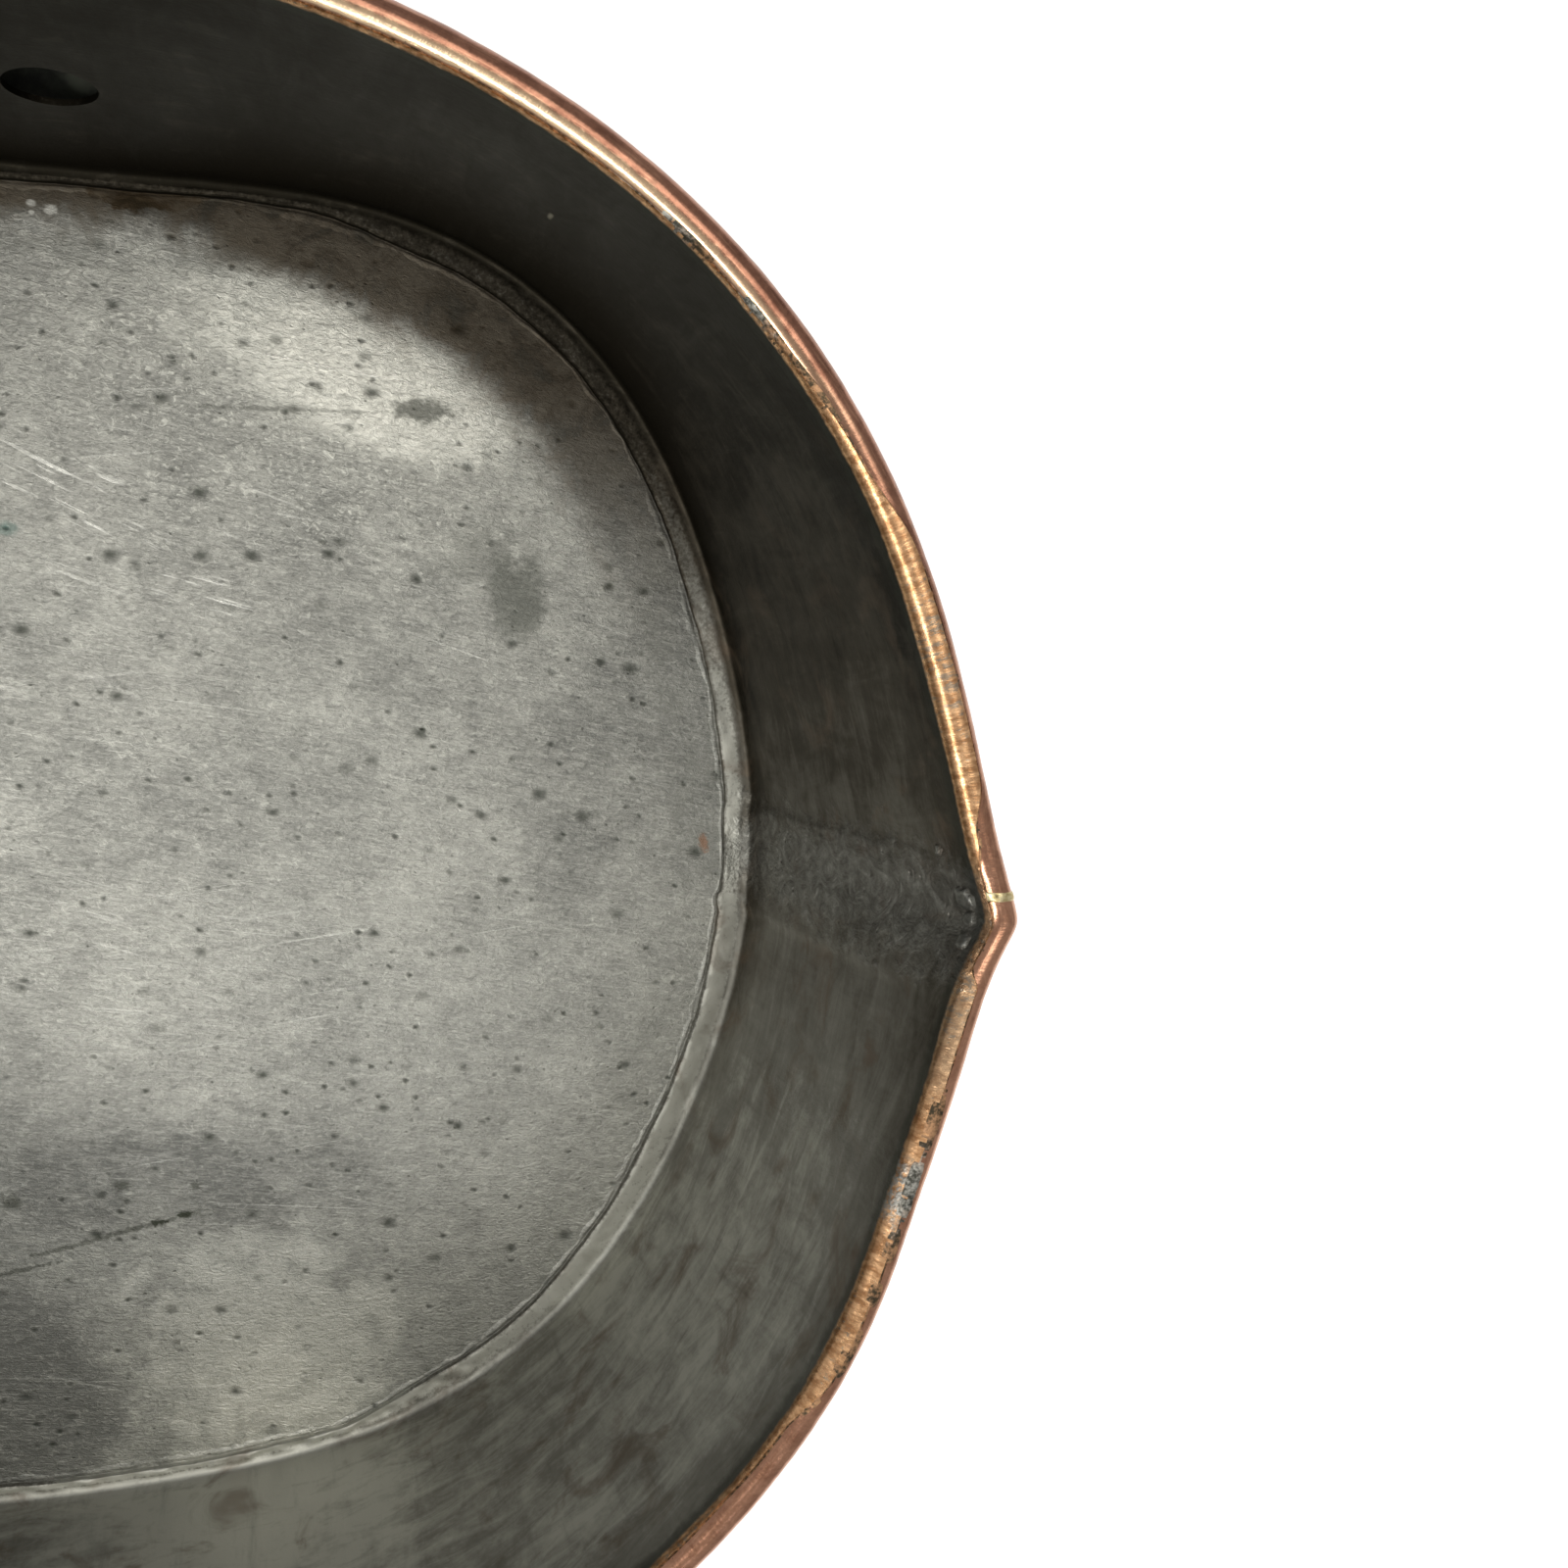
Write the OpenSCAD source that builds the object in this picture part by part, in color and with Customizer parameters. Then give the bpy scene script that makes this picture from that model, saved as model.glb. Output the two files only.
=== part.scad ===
// Copper saucepan with a pouring lip, a wired rim and a hollow side handle.
// Origin: centre of the underside. +X points to the lip, +Y along the handle, +Z up.

/* [Pan] */
// Mean outer radius of the rolled rim
rim_r = 125; // [118:1:135]
// Height of the middle of the roll above the resting surface
rim_z = 75; // [65:1:85]
// Mean inner radius of the wall where it stands on the floor
foot_r = 114.7; // [105:0.1:116]
// Thickness of the copper sheet of the wall and of the rim band
sheet = 0.9; // [0.8:0.1:1.1]
// Thickness of the floor disc
floor_t = 1.5; // [1.2:0.1:2.5]
// Width of the strip that the wall turns in over the floor
strip_w = 5; // [4:0.1:8]
// Inner radius of the bend between the strip and the wall
bend_r = 1.4; // [1:0.1:2.5]

/* [Hand-made shape] */
// How much wider the rim is along X than along Y, as a share of its radius
rim_oval = 0.011; // [0:0.001:0.02]
// How far the rim leans towards a rounded square
rim_square = 0.010; // [0:0.001:0.02]
// How far the foot leans towards a rounded square
foot_square = 0.029; // [0:0.001:0.035]
// How flat the sides of the foot are hammered
foot_flat = 0.012; // [0:0.001:0.016]
// How far the foot leans towards the handle
foot_lean = 0.017; // [0:0.001:0.02]
// Share of the hammering that the half away from the lip keeps
far_share = 0.4; // [0:0.05:1]

/* [Pouring lip] */
// How far the lip reaches out past the rim
lip_out = 6.5; // [3:0.5:9]
// Direction of the tip of the lip
lip_turn = -0.8; // [-3:0.1:3]
// Roundness of the tip, in degrees of the rim
lip_round = 0.8; // [0.5:0.1:2]
// Run-out of the lip on the handle side, in degrees of the rim
lip_wide = 7; // [5:0.5:9]
// Run-out of the lip on the other side, in degrees of the rim
lip_narrow = 4; // [3:0.5:6]
// Depth of the dent beside the lip
dent = 1.3; // [0:0.1:2]
// How fast the lip fades down the wall
lip_fade = 1.8; // [1:0.1:3]

/* [Lap seam] */
// Direction in which the overlap of the wall sheet starts
lap_start = -6; // [-8:1:-5]
// Direction in which the overlap ends
lap_end = 3; // [3:1:6]
// How far the hammered overlap stands in from the wall
lap_step = 0.5; // [0.3:0.1:0.8]
// Thickness of the tin fill smeared over the overlap
seam_fill = 0.35; // [0.2:0.05:0.6]

/* [Rim] */
// Radius of the iron wire inside the rolled rim
wire_r = 1.75; // [1.5:0.05:2]
// Half of the angle of the groove on the crown of the roll
groove_half = 7; // [5:1:12]
// Where the band ends under the roll, in degrees
band_end = -135; // [-137:1:-110]
// Direction of the brass joint across the band
joint_turn = 0.9; // [0:0.1:2]
// Width of the brass joint
joint_w = 1.4; // [1:0.1:2.5]
// How far the brass stands proud of the band
joint_proud = 0.1; // [0.05:0.05:0.2]

/* [Handle] */
// Diameter of the round hole behind the handle
hole_d = 12.5; // [10:0.5:14]
// Height of the middle of the hole
hole_z = 33.5; // [30:0.5:38]
// Rise of the handle above level, in degrees
handle_rise = 10; // [5:1:15]
// Length of the tube
tube_len = 160; // [130:5:200]
// Outer radius of the tube at the pan
tube_root_r = 11; // [10.5:0.5:12]
// Outer radius of the tube at its far end
tube_end_r = 14; // [13:0.5:16]
// Thickness of the copper of the tube
tube_t = 1.2; // [1:0.1:1.5]
// Radius of the collar where it lies on the wall
collar_r = 20; // [18:0.5:22]
// Height of the collar off the wall
collar_h = 7; // [6:0.5:9]
// Radius of the hanging eye
eye_r = 11; // [10:0.5:13]
// Diameter of the hole in the hanging eye
eye_hole_d = 10; // [8:0.5:11]
// Thickness of the hanging eye
eye_t = 6; // [5:0.5:8]

/* [Hidden] */

copper = "#b87350";
tin = "#8a8a84";
iron = "#5a5552";
brass = "#c9a54f";

roll_r = wire_r + sheet;
strip_z = floor_t + sheet;
wall_h = rim_z - strip_z;
disc_edge = 0.4;
solder_w = 1.6;
wire_gap = 0.1;
// Directions around the pan, closer together at the lip
near_half = 12;
far_step = 4;
ANGLES = concat([for (a = [-near_half : near_half]) a],
                [for (a = [near_half + far_step : far_step : 360 - near_half - far_step]) a]);
// Heights of the rows of points on the wall, as shares of its height
HEIGHTS = [0.2, 0.4, 0.6, 0.8, 0.93];

// Angle between -180 and 180 degrees
function signed(a) = a > 180 ? a - 360 : a;
// Rise from 0 to 1 between two directions
function ease(a, a0, a1) = a <= a0 ? 0 : a >= a1 ? 1 : (1 - cos(180 * (a - a0) / (a1 - a0))) / 2;
// Bell of height 1 and half width w
function bell(a, w) = exp(-pow(a / w, 2));

// Reach of the pouring lip, u degrees from its tip, less the dent beside it
function lip_run(u) = u > 0 ? lip_wide : lip_narrow;
function lip_reach(u) = lip_out * exp((lip_round - sqrt(u * u + lip_round * lip_round)) / lip_run(u));
function lip(a) = lip_reach(signed(a) - lip_turn) - dent * bell(signed(a) + 20, 8);
// Outer radius of the rolled rim without its lip, and the middle of its wire
function rim_plain(a) = rim_r * (1 + rim_oval * cos(2 * a) - rim_square * cos(4 * a));
function wire_c(a) = rim_plain(a) + lip(a) - roll_r;
// Inner radius of the wall at its foot
function hammered(a) = foot_lean * (sin(a) + 0.35 * sin(3 * a) - 0.4 * sin(5 * a))
                       + foot_flat * cos(6 * a) - foot_square * cos(4 * a);
function kept(a) = 1 - (1 - far_share) * ease(abs(signed(a)), 95, 150);
function foot_in(a) = foot_r * (1 + kept(a) * hammered(a));
// Step of the overlap, with its two ends hammered down
function lap(a) = lap_step * ease(signed(a), lap_start - 1, lap_start) * (1 - ease(signed(a), lap_end, lap_end + 1));
// Inner radius of the wall at height share h, without and with the overlap
function wall_plain(a, h) = foot_in(a) * (1 - h) + (rim_plain(a) - 2 * roll_r) * h + lip(a) * pow(h, lip_fade);
function wall_in(a, h) = wall_plain(a, h) - lap(a) * (1 - pow(h, 6));
function wall_z(h) = strip_z + h * wall_h;
function wall_row(a, h, out) = [wall_in(a, h) + out, wall_z(h)];
// Arc in a section, as points of radius and height
function arc(cr, cz, r, a0, a1, n) = [for (i = [0 : n]) let (b = a0 + (a1 - a0) * i / n)
                                      [cr + r * cos(b), cz + r * sin(b)]];
function reversed(list) = [for (i = [len(list) - 1 : -1 : 0]) list[i]];

// Section of the wall: turned-in strip, bend, wall and the lip over the wire
function wall_section(a) =
    let (foot = foot_in(a) - lap(a), bend_out = bend_r + sheet, bend_c = foot - bend_r,
         bend_z = floor_t + bend_out, tip = 90 + groove_half)
    concat([[foot - strip_w, floor_t]],
           arc(bend_c, bend_z, bend_out, -90, 0, 3),
           [for (h = HEIGHTS) wall_row(a, h, sheet)],
           arc(wire_c(a), rim_z, wire_r, 180, tip, 3),
           arc(wire_c(a), rim_z, roll_r, tip, 180, 4),
           [for (h = reversed(HEIGHTS)) wall_row(a, h, 0)],
           arc(bend_c, bend_z, bend_r, 0, -90, 2),
           [[foot - strip_w, strip_z]]);

// Section of the rim band, thicker by proud on its outside
function band_section(a, proud) =
    concat(arc(wire_c(a), rim_z, roll_r + proud, band_end, 90 - groove_half, 9),
           arc(wire_c(a), rim_z, wire_r, 90 - groove_half, band_end, 9));

// Section of the tin fill over the overlap
function seam_section(a) =
    concat([for (h = HEIGHTS) wall_row(a, h, 0)],
           [for (h = reversed(HEIGHTS)) wall_row(a, h, -seam_fill)]);

function ring_points(sections, angles) = [for (i = [0 : len(sections) - 1]) for (p = sections[i])
                                          [p[0] * cos(angles[i]), p[0] * sin(angles[i]), p[1]]];
// Faces between section i and section k, each with m points
function strip_faces(i, k, m) = [for (j = [0 : m - 1]) let (l = (j + 1) % m)
                                 for (f = [[i * m + j, i * m + l, k * m + l], [i * m + j, k * m + l, k * m + j]]) f];

// Closed ring, one section for each direction
module ring(sections) {
    n = len(sections);
    m = len(sections[0]);
    faces = [for (i = [0 : n - 1]) for (f = strip_faces(i, (i + 1) % n, m)) f];
    polyhedron(ring_points(sections, ANGLES), faces, convexity = 10);
}

// Triangles that close a section, whose second half runs back beside its first
function end_faces(first, m) = [for (j = [0 : m / 2 - 2]) let (a = first + j, d = first + m - 1 - j)
                                for (f = [[a, a + 1, d], [a + 1, d - 1, d]]) f];
function turned(faces) = [for (f = faces) [f[2], f[1], f[0]]];

// Length of a ring between two directions, closed at both ends
module ring_part(sections, angles) {
    n = len(sections);
    m = len(sections[0]);
    sides = [for (i = [0 : n - 2]) for (f = strip_faces(i, i + 1, m)) f];
    ends = concat(turned(end_faces(0, m)), end_faces((n - 1) * m, m));
    polyhedron(ring_points(sections, angles), concat(sides, ends), convexity = 10);
}

module floor_disc() {
    color(tin)
    linear_extrude(floor_t)
    polygon([for (a = ANGLES) (foot_in(a) + sheet - disc_edge) * [cos(a), sin(a)]]);
}

module wall() {
    color(copper)
    difference() {
        ring([for (a = ANGLES) wall_section(a)]);
        translate([0, 0, hole_z])
        rotate([-90, 0, 0])
        cylinder(h = rim_r * 1.2, d = hole_d, $fn = 64);
    }
}

module seam_solder() {
    angles = [lap_start : lap_end];
    color(tin)
    ring_part([for (a = angles) seam_section(a)], [for (a = angles) a]);
}

// Fillet that seals the turned-in strip to the floor
module foot_solder() {
    color(tin)
    ring([for (a = ANGLES) let (edge = foot_in(a) - lap(a) - strip_w)
          [[edge - solder_w, floor_t], [edge, floor_t], [edge, strip_z - 0.1]]]);
}

module rim_wire() {
    color(iron)
    ring([for (a = ANGLES) [for (p = arc(wire_c(a), rim_z, wire_r - wire_gap, 0, 324, 9)) p]]);
}

// The band is one strip, open at the brass joint
joint_half = joint_w / 2 / (rim_r + lip_out) * 180 / PI;
module rim_band() {
    start = joint_turn + joint_half;
    stop = 360 + joint_turn - joint_half;
    angles = concat([start], [for (a = concat(ANGLES, [for (b = [-near_half : 0]) b + 360]))
                              if (a > start + 0.3 && a < stop - 0.3) a], [stop]);
    color(copper)
    ring_part([for (a = angles) band_section(a, 0)], angles);
}

// Solder in the groove between the lip of the wall and the band
module rim_solder() {
    color(tin)
    ring([for (a = ANGLES)
          concat(arc(wire_c(a), rim_z, roll_r - 0.15, 90 - groove_half, 90 + groove_half, 1),
                 arc(wire_c(a), rim_z, wire_r + 0.05, 90 + groove_half, 90 - groove_half, 1))]);
}

module rim_joint() {
    angles = [joint_turn - joint_half, joint_turn + joint_half];
    color(brass)
    ring_part([for (a = angles) band_section(a, joint_proud)], angles);
}

// The collar lies square on the sloping wall, and the tube rises through it
seat_share = (hole_z - strip_z) / wall_h;
seat_y = wall_plain(90, seat_share) + sheet;
seat_slope = atan((rim_plain(90) - 2 * roll_r - foot_in(90)) / wall_h);
seat_bow = 350;
root = -6;

module along_handle() {
    translate([0, seat_y, hole_z])
    rotate([handle_rise - 90, 0, 0])
    children();
}

module square_to_wall() {
    translate([0, seat_y, hole_z])
    rotate([-90 - seat_slope, 0, 0])
    children();
}

// Space that the pan takes behind the handle
module behind_wall() {
    translate([0, seat_y, hole_z])
    rotate([-seat_slope, 0, 0])
    translate([0, -seat_bow, 0])
    cylinder(h = 100, r = seat_bow, center = true, $fn = 360);
}

// Outer radius of the tube at a distance from the wall
function tube_r(s) = tube_root_r + (tube_end_r - tube_root_r) * pow(max(s, 0) / tube_len, 1.5);

module handle_collar() {
    top_r = tube_root_r + 1.6;
    sweep_r = collar_h - 1.2;
    profile = concat([[0, root], [collar_r, root], [collar_r, 0.8]],
                     [for (b = [0 : 15 : 90])
                      [top_r + (collar_r - 1 - top_r) * (1 - sin(b)), 1.2 + sweep_r * (1 - cos(b))]],
                     [[0, collar_h]]);
    color(copper)
    difference() {
        square_to_wall()
        rotate_extrude($fn = 96)
        polygon(profile);
        along_handle()
        translate([0, 0, -20])
        cylinder(h = 60, r = tube_root_r + 0.05, $fn = 96);
        behind_wall();
    }
}

// Brass run around the edge of the collar, bedded a little into the sloping wall
braze_w = 2.3;
braze_bed = 0.4;
module collar_braze() {
    color(brass)
    square_to_wall()
    rotate_extrude($fn = 96)
    polygon([[collar_r, -braze_bed], [collar_r + braze_w, -braze_bed], [collar_r + braze_w, 0],
             [collar_r + 0.6, 0.7], [collar_r, 0.8]]);
}

module handle_tube() {
    straight = 14;
    stations = [for (s = [straight : (tube_len - straight) / 6 : tube_len]) s];
    outside = [for (s = stations) [tube_r(s - straight), s]];
    inside = [for (s = reversed(stations)) [tube_r(s - straight) - tube_t, s]];
    color(copper)
    difference() {
        along_handle()
        rotate_extrude($fn = 96)
        polygon(concat([[tube_root_r, root]], outside, inside, [[tube_root_r - tube_t, root]]));
        behind_wall();
    }
}

// Cap soldered into the end of the tube, drawn out to a flat hanging eye
module handle_eye() {
    cap_r = tube_r(tube_len - 14);
    plug = 8;
    cap_t = 1.6;
    neck = 9;
    color(copper)
    along_handle()
    translate([0, 0, tube_len])
    difference() {
        union() {
            translate([0, 0, -plug])
            cylinder(h = plug, r = cap_r - tube_t - 0.15, $fn = 96);
            cylinder(h = cap_t, r = cap_r, $fn = 96);
            translate([0, 0, cap_t])
            cylinder(h = neck, r1 = cap_r - 1.5, r2 = 4.5, $fn = 96);
            translate([0, 0, neck + eye_r])
            rotate([90, 0, 0])
            cylinder(h = eye_t, r = eye_r, center = true, $fn = 96);
        }
        translate([0, 0, neck + eye_r])
        rotate([90, 0, 0])
        cylinder(h = 4 * eye_t, d = eye_hole_d, center = true, $fn = 96);
    }
}

floor_disc();
wall();
seam_solder();
foot_solder();
rim_wire();
rim_band();
rim_solder();
rim_joint();
handle_collar();
collar_braze();
handle_tube();
handle_eye();
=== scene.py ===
import math

import bpy
from mathutils import Matrix, Vector, noise


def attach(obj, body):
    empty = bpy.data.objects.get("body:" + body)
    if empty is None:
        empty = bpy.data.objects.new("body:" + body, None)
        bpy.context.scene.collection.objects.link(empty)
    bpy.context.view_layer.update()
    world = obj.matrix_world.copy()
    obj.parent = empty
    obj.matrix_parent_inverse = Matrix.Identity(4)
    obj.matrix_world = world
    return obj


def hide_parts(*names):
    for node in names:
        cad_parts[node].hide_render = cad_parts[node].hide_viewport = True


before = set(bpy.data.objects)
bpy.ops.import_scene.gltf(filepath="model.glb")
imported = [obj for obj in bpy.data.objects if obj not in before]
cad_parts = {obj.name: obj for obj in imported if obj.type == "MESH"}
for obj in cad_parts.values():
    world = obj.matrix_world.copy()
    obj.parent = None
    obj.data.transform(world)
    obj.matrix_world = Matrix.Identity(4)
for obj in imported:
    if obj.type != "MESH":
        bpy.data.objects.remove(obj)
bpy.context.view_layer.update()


# ---- The room ----
# A pale table top under plain soft light, and the camera that looks down into the pan.
# Most light comes over the wall away from the handle, so the inside is darkest by the handle.
CAMERA_PLACE = (0.0291, 0.0412, 0.2807)
CAMERA_TILT = 18.78
TILT_AXIS = (-0.3207, -0.9472, 0)
camera = bpy.data.objects.new("camera", bpy.data.cameras.new("camera"))
bpy.context.scene.collection.objects.link(camera)
camera.data.lens = 36
camera.data.sensor_width = 36
camera.data.clip_start = 0.01
tilted = Matrix.Rotation(math.radians(CAMERA_TILT), 4, TILT_AXIS)
camera.matrix_world = Matrix.Translation(CAMERA_PLACE) @ tilted
bpy.context.scene.camera = camera
bpy.context.scene.view_settings.view_transform = "Standard"

SKY_STRENGTH = 0.50
sky = bpy.data.worlds.new("sky")
bpy.context.scene.world = sky
sky.use_nodes = True
overhead = sky.node_tree.nodes["Background"].inputs
overhead["Color"].default_value = (1, 0.99, 0.97, 1)
overhead["Strength"].default_value = SKY_STRENGTH

SOFT_LIGHTS = {
    # name: place, point it faces, width, length, watts, colour
    "lamp": ((0.08, 0.27, 1.0), (0.03, 0.05, 0), 0.60, 0.50, 2.4, (1, 0.97, 0.90)),
    "window": ((-0.62, -0.66, 0.78), (0.05, 0.05, 0), 0.95, 0.12, 7.5, (1, 0.98, 0.93)),
    "skylight": ((0.42, 0.12, 1.25), (0.08, 0, 0), 0.50, 0.60, 0.8, (1, 0.96, 0.88)),
    "doorway": ((-0.02, -0.74, 1.0), (0.02, -0.08, 0), 0.28, 0.42, 1.0, (0.97, 0.99, 1)),
}
for name, (place, faced, width, length, watts, colour) in SOFT_LIGHTS.items():
    light = bpy.data.objects.new(name, bpy.data.lights.new(name, "AREA"))
    bpy.context.scene.collection.objects.link(light)
    light.data.shape = "RECTANGLE"
    light.data.size = width
    light.data.size_y = length
    light.data.energy = watts
    light.data.color = colour
    light.location = place
    light.rotation_euler = (Vector(faced) - Vector(place)).to_track_quat("-Z", "Y").to_euler()

TABLE_HALF = 3
TABLE_GAP = 0.0002
bpy.ops.object.select_all(action="DESELECT")
bpy.ops.mesh.primitive_plane_add(size=2 * TABLE_HALF, location=(0, 0, -TABLE_GAP))
table = bpy.context.object
table.name = "table_top"
paint = bpy.data.materials.new("table_paint")
paint.use_nodes = True
pale = paint.node_tree.nodes["Principled BSDF"].inputs
pale["Base Color"].default_value = (0.93, 0.93, 0.92, 1)
pale["Roughness"].default_value = 0.8
pale["Emission Color"].default_value = (1, 1, 1, 1)
pale["Emission Strength"].default_value = 0.5
table.data.materials.append(paint)


# ---- Pan floor ----
# A flat disc of sheet copper, tinned on top and bare underneath, hammered a little out of round.
# The wall's turned-in strip is soldered down on its edge.
MM = 0.001
FLOOR_T = 1.5
FOOT_R = 114.7
FOOT_LEAN = 0.017
FOOT_FLAT = 0.012
FOOT_SQUARE = 0.029
FAR_SHARE = 0.4
SHEET = 0.9
DISC_EDGE = 0.4
STRIP_W = 5
MERGE_WITHIN = 0.000004


def signed(turn):
    return (turn + 180) % 360 - 180


def ease(value, low, high):
    share = min(max((value - low) / (high - low), 0), 1)
    return (1 - math.cos(math.pi * share)) / 2


def bell(value, width):
    return math.exp(-((value / width) ** 2))


def on_circle(radius, turn):
    """Place at a distance from the middle in a direction."""
    a = math.radians(turn)
    return radius * math.cos(a), radius * math.sin(a)


def foot_in(turn):
    """Inner radius of the wall at its foot."""
    a = math.radians(turn)
    hammered = FOOT_LEAN * (math.sin(a) + 0.35 * math.sin(3 * a) - 0.4 * math.sin(5 * a))
    hammered += FOOT_FLAT * math.cos(6 * a) - FOOT_SQUARE * math.cos(4 * a)
    kept = 1 - (1 - FAR_SHARE) * ease(abs(signed(turn)), 95, 150)
    return FOOT_R * (1 + kept * hammered)


def waver(x, y, z, grain, seed=0):
    """Smooth unevenness between about -1 and 1, with bumps of about the grain's size."""
    return noise.noise(Vector((x / grain + seed * 7.31, y / grain - seed * 3.17, z / grain + seed * 1.93)))


def round_turns(columns):
    """Directions of evenly spaced columns, all the way round."""
    return [360 * i / columns for i in range(columns)]


def draw_rings(name, columns, rows):
    """A tube of rings, one for each point of a section, made from a circle pulled up row by row."""
    bpy.ops.object.select_all(action="DESELECT")
    bpy.ops.mesh.primitive_circle_add(vertices=columns, radius=1, location=(0, 0, 0))
    piece = bpy.context.object
    piece.name = piece.data.name = name
    bpy.ops.object.mode_set(mode="EDIT")
    bpy.ops.mesh.select_all(action="SELECT")
    for row in range(1, rows):
        bpy.ops.mesh.extrude_edges_move(TRANSFORM_OT_translate={"value": (0, 0, 1)})
    bpy.ops.object.mode_set(mode="OBJECT")
    return piece


def shape_rings(piece, turns, section):
    """Moves each corner onto the section for its direction, and maps how far along and across it lies."""
    columns = len(turns)
    sections = [section(turn) for turn in turns]
    girth = math.radians(max(radius for radius, height in sections[0]))
    across = [0]
    for one, two in zip(sections[0], sections[0][1:]):
        across.append(across[-1] + math.dist(one, two))
    places = []
    for corner in piece.data.vertices:
        column = round(math.degrees(math.atan2(corner.co.y, corner.co.x)) * columns / 360) % columns
        row = round(corner.co.z)
        places.append((column, row))
        radius, height = sections[column][row]
        corner.co = MM * Vector((*on_circle(radius, turns[column]), height))
    strip = piece.data.uv_layers.new(name="strip")
    for face in piece.data.polygons:
        own = [places[corner] for corner in face.vertices]
        held = [column for column, row in own]
        wraps = max(held) - min(held) > columns / 2
        for loop, (column, row) in zip(face.loop_indices, own):
            along = turns[0] + 360 if wraps and column == 0 else turns[column]
            strip.data[loop].uv = (along * girth, across[row])
    return piece


def close_up(piece, smooth=35):
    """Merges corners that meet, turns every face outwards and smooths all but the sharp edges."""
    bpy.ops.object.select_all(action="DESELECT")
    piece.select_set(True)
    bpy.context.view_layer.objects.active = piece
    bpy.ops.object.mode_set(mode="EDIT")
    bpy.ops.mesh.select_all(action="SELECT")
    bpy.ops.mesh.remove_doubles(threshold=MERGE_WITHIN)
    bpy.ops.mesh.normals_make_consistent(inside=False)
    bpy.ops.object.mode_set(mode="OBJECT")
    bpy.ops.object.shade_smooth_by_angle(angle=math.radians(smooth))
    return piece


class Wire:
    """One output in a material. Sums written on it add their Math nodes."""

    def __init__(self, tree, socket=None):
        self.tree = tree
        self.socket = socket

    def node(self, kind, settings=None, values=None, out=0):
        """Adds a node: its settings first, then the values or links of its sockets."""
        made = self.tree.nodes.new("ShaderNode" + kind)
        for name, value in (settings or {}).items():
            if name == "stops":
                while len(made.color_ramp.elements) < len(value):
                    made.color_ramp.elements.new(1)
                for stop, (position, colour) in zip(made.color_ramp.elements, value):
                    stop.position = position
                    stop.color = (*colour, 1)
            else:
                setattr(made, name, value)
        for name, value in (values or {}).items():
            if isinstance(value, Wire):
                self.tree.links.new(value.socket, made.inputs[name])
            else:
                made.inputs[name].default_value = value
        return Wire(self.tree, made.outputs[out])

    def math(self, operation, first, second=0.0):
        return self.node("Math", {"operation": operation}, {0: first, 1: second})

    def __add__(self, other):
        return self.math("ADD", self, other)

    def __radd__(self, other):
        return self.math("ADD", other, self)

    def __sub__(self, other):
        return self.math("SUBTRACT", self, other)

    def __rsub__(self, other):
        return self.math("SUBTRACT", other, self)

    def __mul__(self, other):
        return self.math("MULTIPLY", self, other)

    def __rmul__(self, other):
        return self.math("MULTIPLY", other, self)

    def __truediv__(self, other):
        return self.math("DIVIDE", self, other)


def start_finish(name):
    """A new material's name, its shader node, and the place on the surface in millimetres."""
    finish = bpy.data.materials.new(name)
    finish.use_nodes = True
    start = Wire(finish.node_tree)
    coordinates = start.node("TexCoord", out=3)
    place = start.node("Mapping", values={0: coordinates, 3: (1000, 1000, 1000)})
    return finish, finish.node_tree.nodes["Principled BSDF"], place


def set_shader(shader, colour, metallic, gloss, normal):
    """Gives the shader its values and links."""
    values = {"Base Color": colour, "Metallic": metallic, "Roughness": gloss, "Normal": normal}
    for name, value in values.items():
        if isinstance(value, Wire):
            value.tree.links.new(value.socket, shader.inputs[name])
        else:
            shader.inputs[name].default_value = value


def along_axis(place, axis):
    """One coordinate of a place: 0 along X, 1 along Y, 2 upwards."""
    return place.node("SeparateXYZ", values={0: place}, out=axis)


def turned(place, stretch, turn=0):
    """The place, turned about the upright axis and then stretched."""
    spun = place.node("Mapping", values={0: place, 2: (0, 0, math.radians(turn))})
    return spun.node("Mapping", values={0: spun, 3: stretch})


def cloud(place, grain, detail=4.0, rough=0.55, bend=0.0):
    """Cloudy unevenness from 0 to 1, with patches of about the grain's size."""
    values = {"Vector": place, "Scale": 1 / grain, "Detail": detail, "Roughness": rough, "Distortion": bend}
    return place.node("TexNoise", values=values)


def step(value, low, high):
    """Soft step of a value from 0 below low to 1 above high."""
    settings = {"interpolation_type": "SMOOTHSTEP"}
    return value.node("MapRange", settings, {0: value, 1: low, 2: high, 3: 0.0, 4: 1.0})


def tint(mask, under, over):
    """Colour under where the mask is 0, and over where it is 1."""
    under, over = (c if isinstance(c, Wire) else (*c, 1) for c in (under, over))
    return mask.node("Mix", {"data_type": "RGBA"}, {0: mask, 6: under, 7: over}, out=2)


def speckle(place, grain, size, share, seed=0.0):
    """Small dots, 1 in the middle of each, in the given share of the cells of a scatter."""
    shifted = place.node("Mapping", values={0: place, 1: (seed, seed * 0.7, 0)})
    values = {"Vector": shifted, "Scale": 1 / grain}
    near = place.node("TexVoronoi", values=values)
    pick = place.node("TexVoronoi", values=values, out=1)
    chosen = pick.node("SeparateColor", values={0: pick})
    dot = 1 - step(near, 0, size / grain * 2)
    return dot * step(chosen, 1 - share, 1 - share + 0.02)


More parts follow.
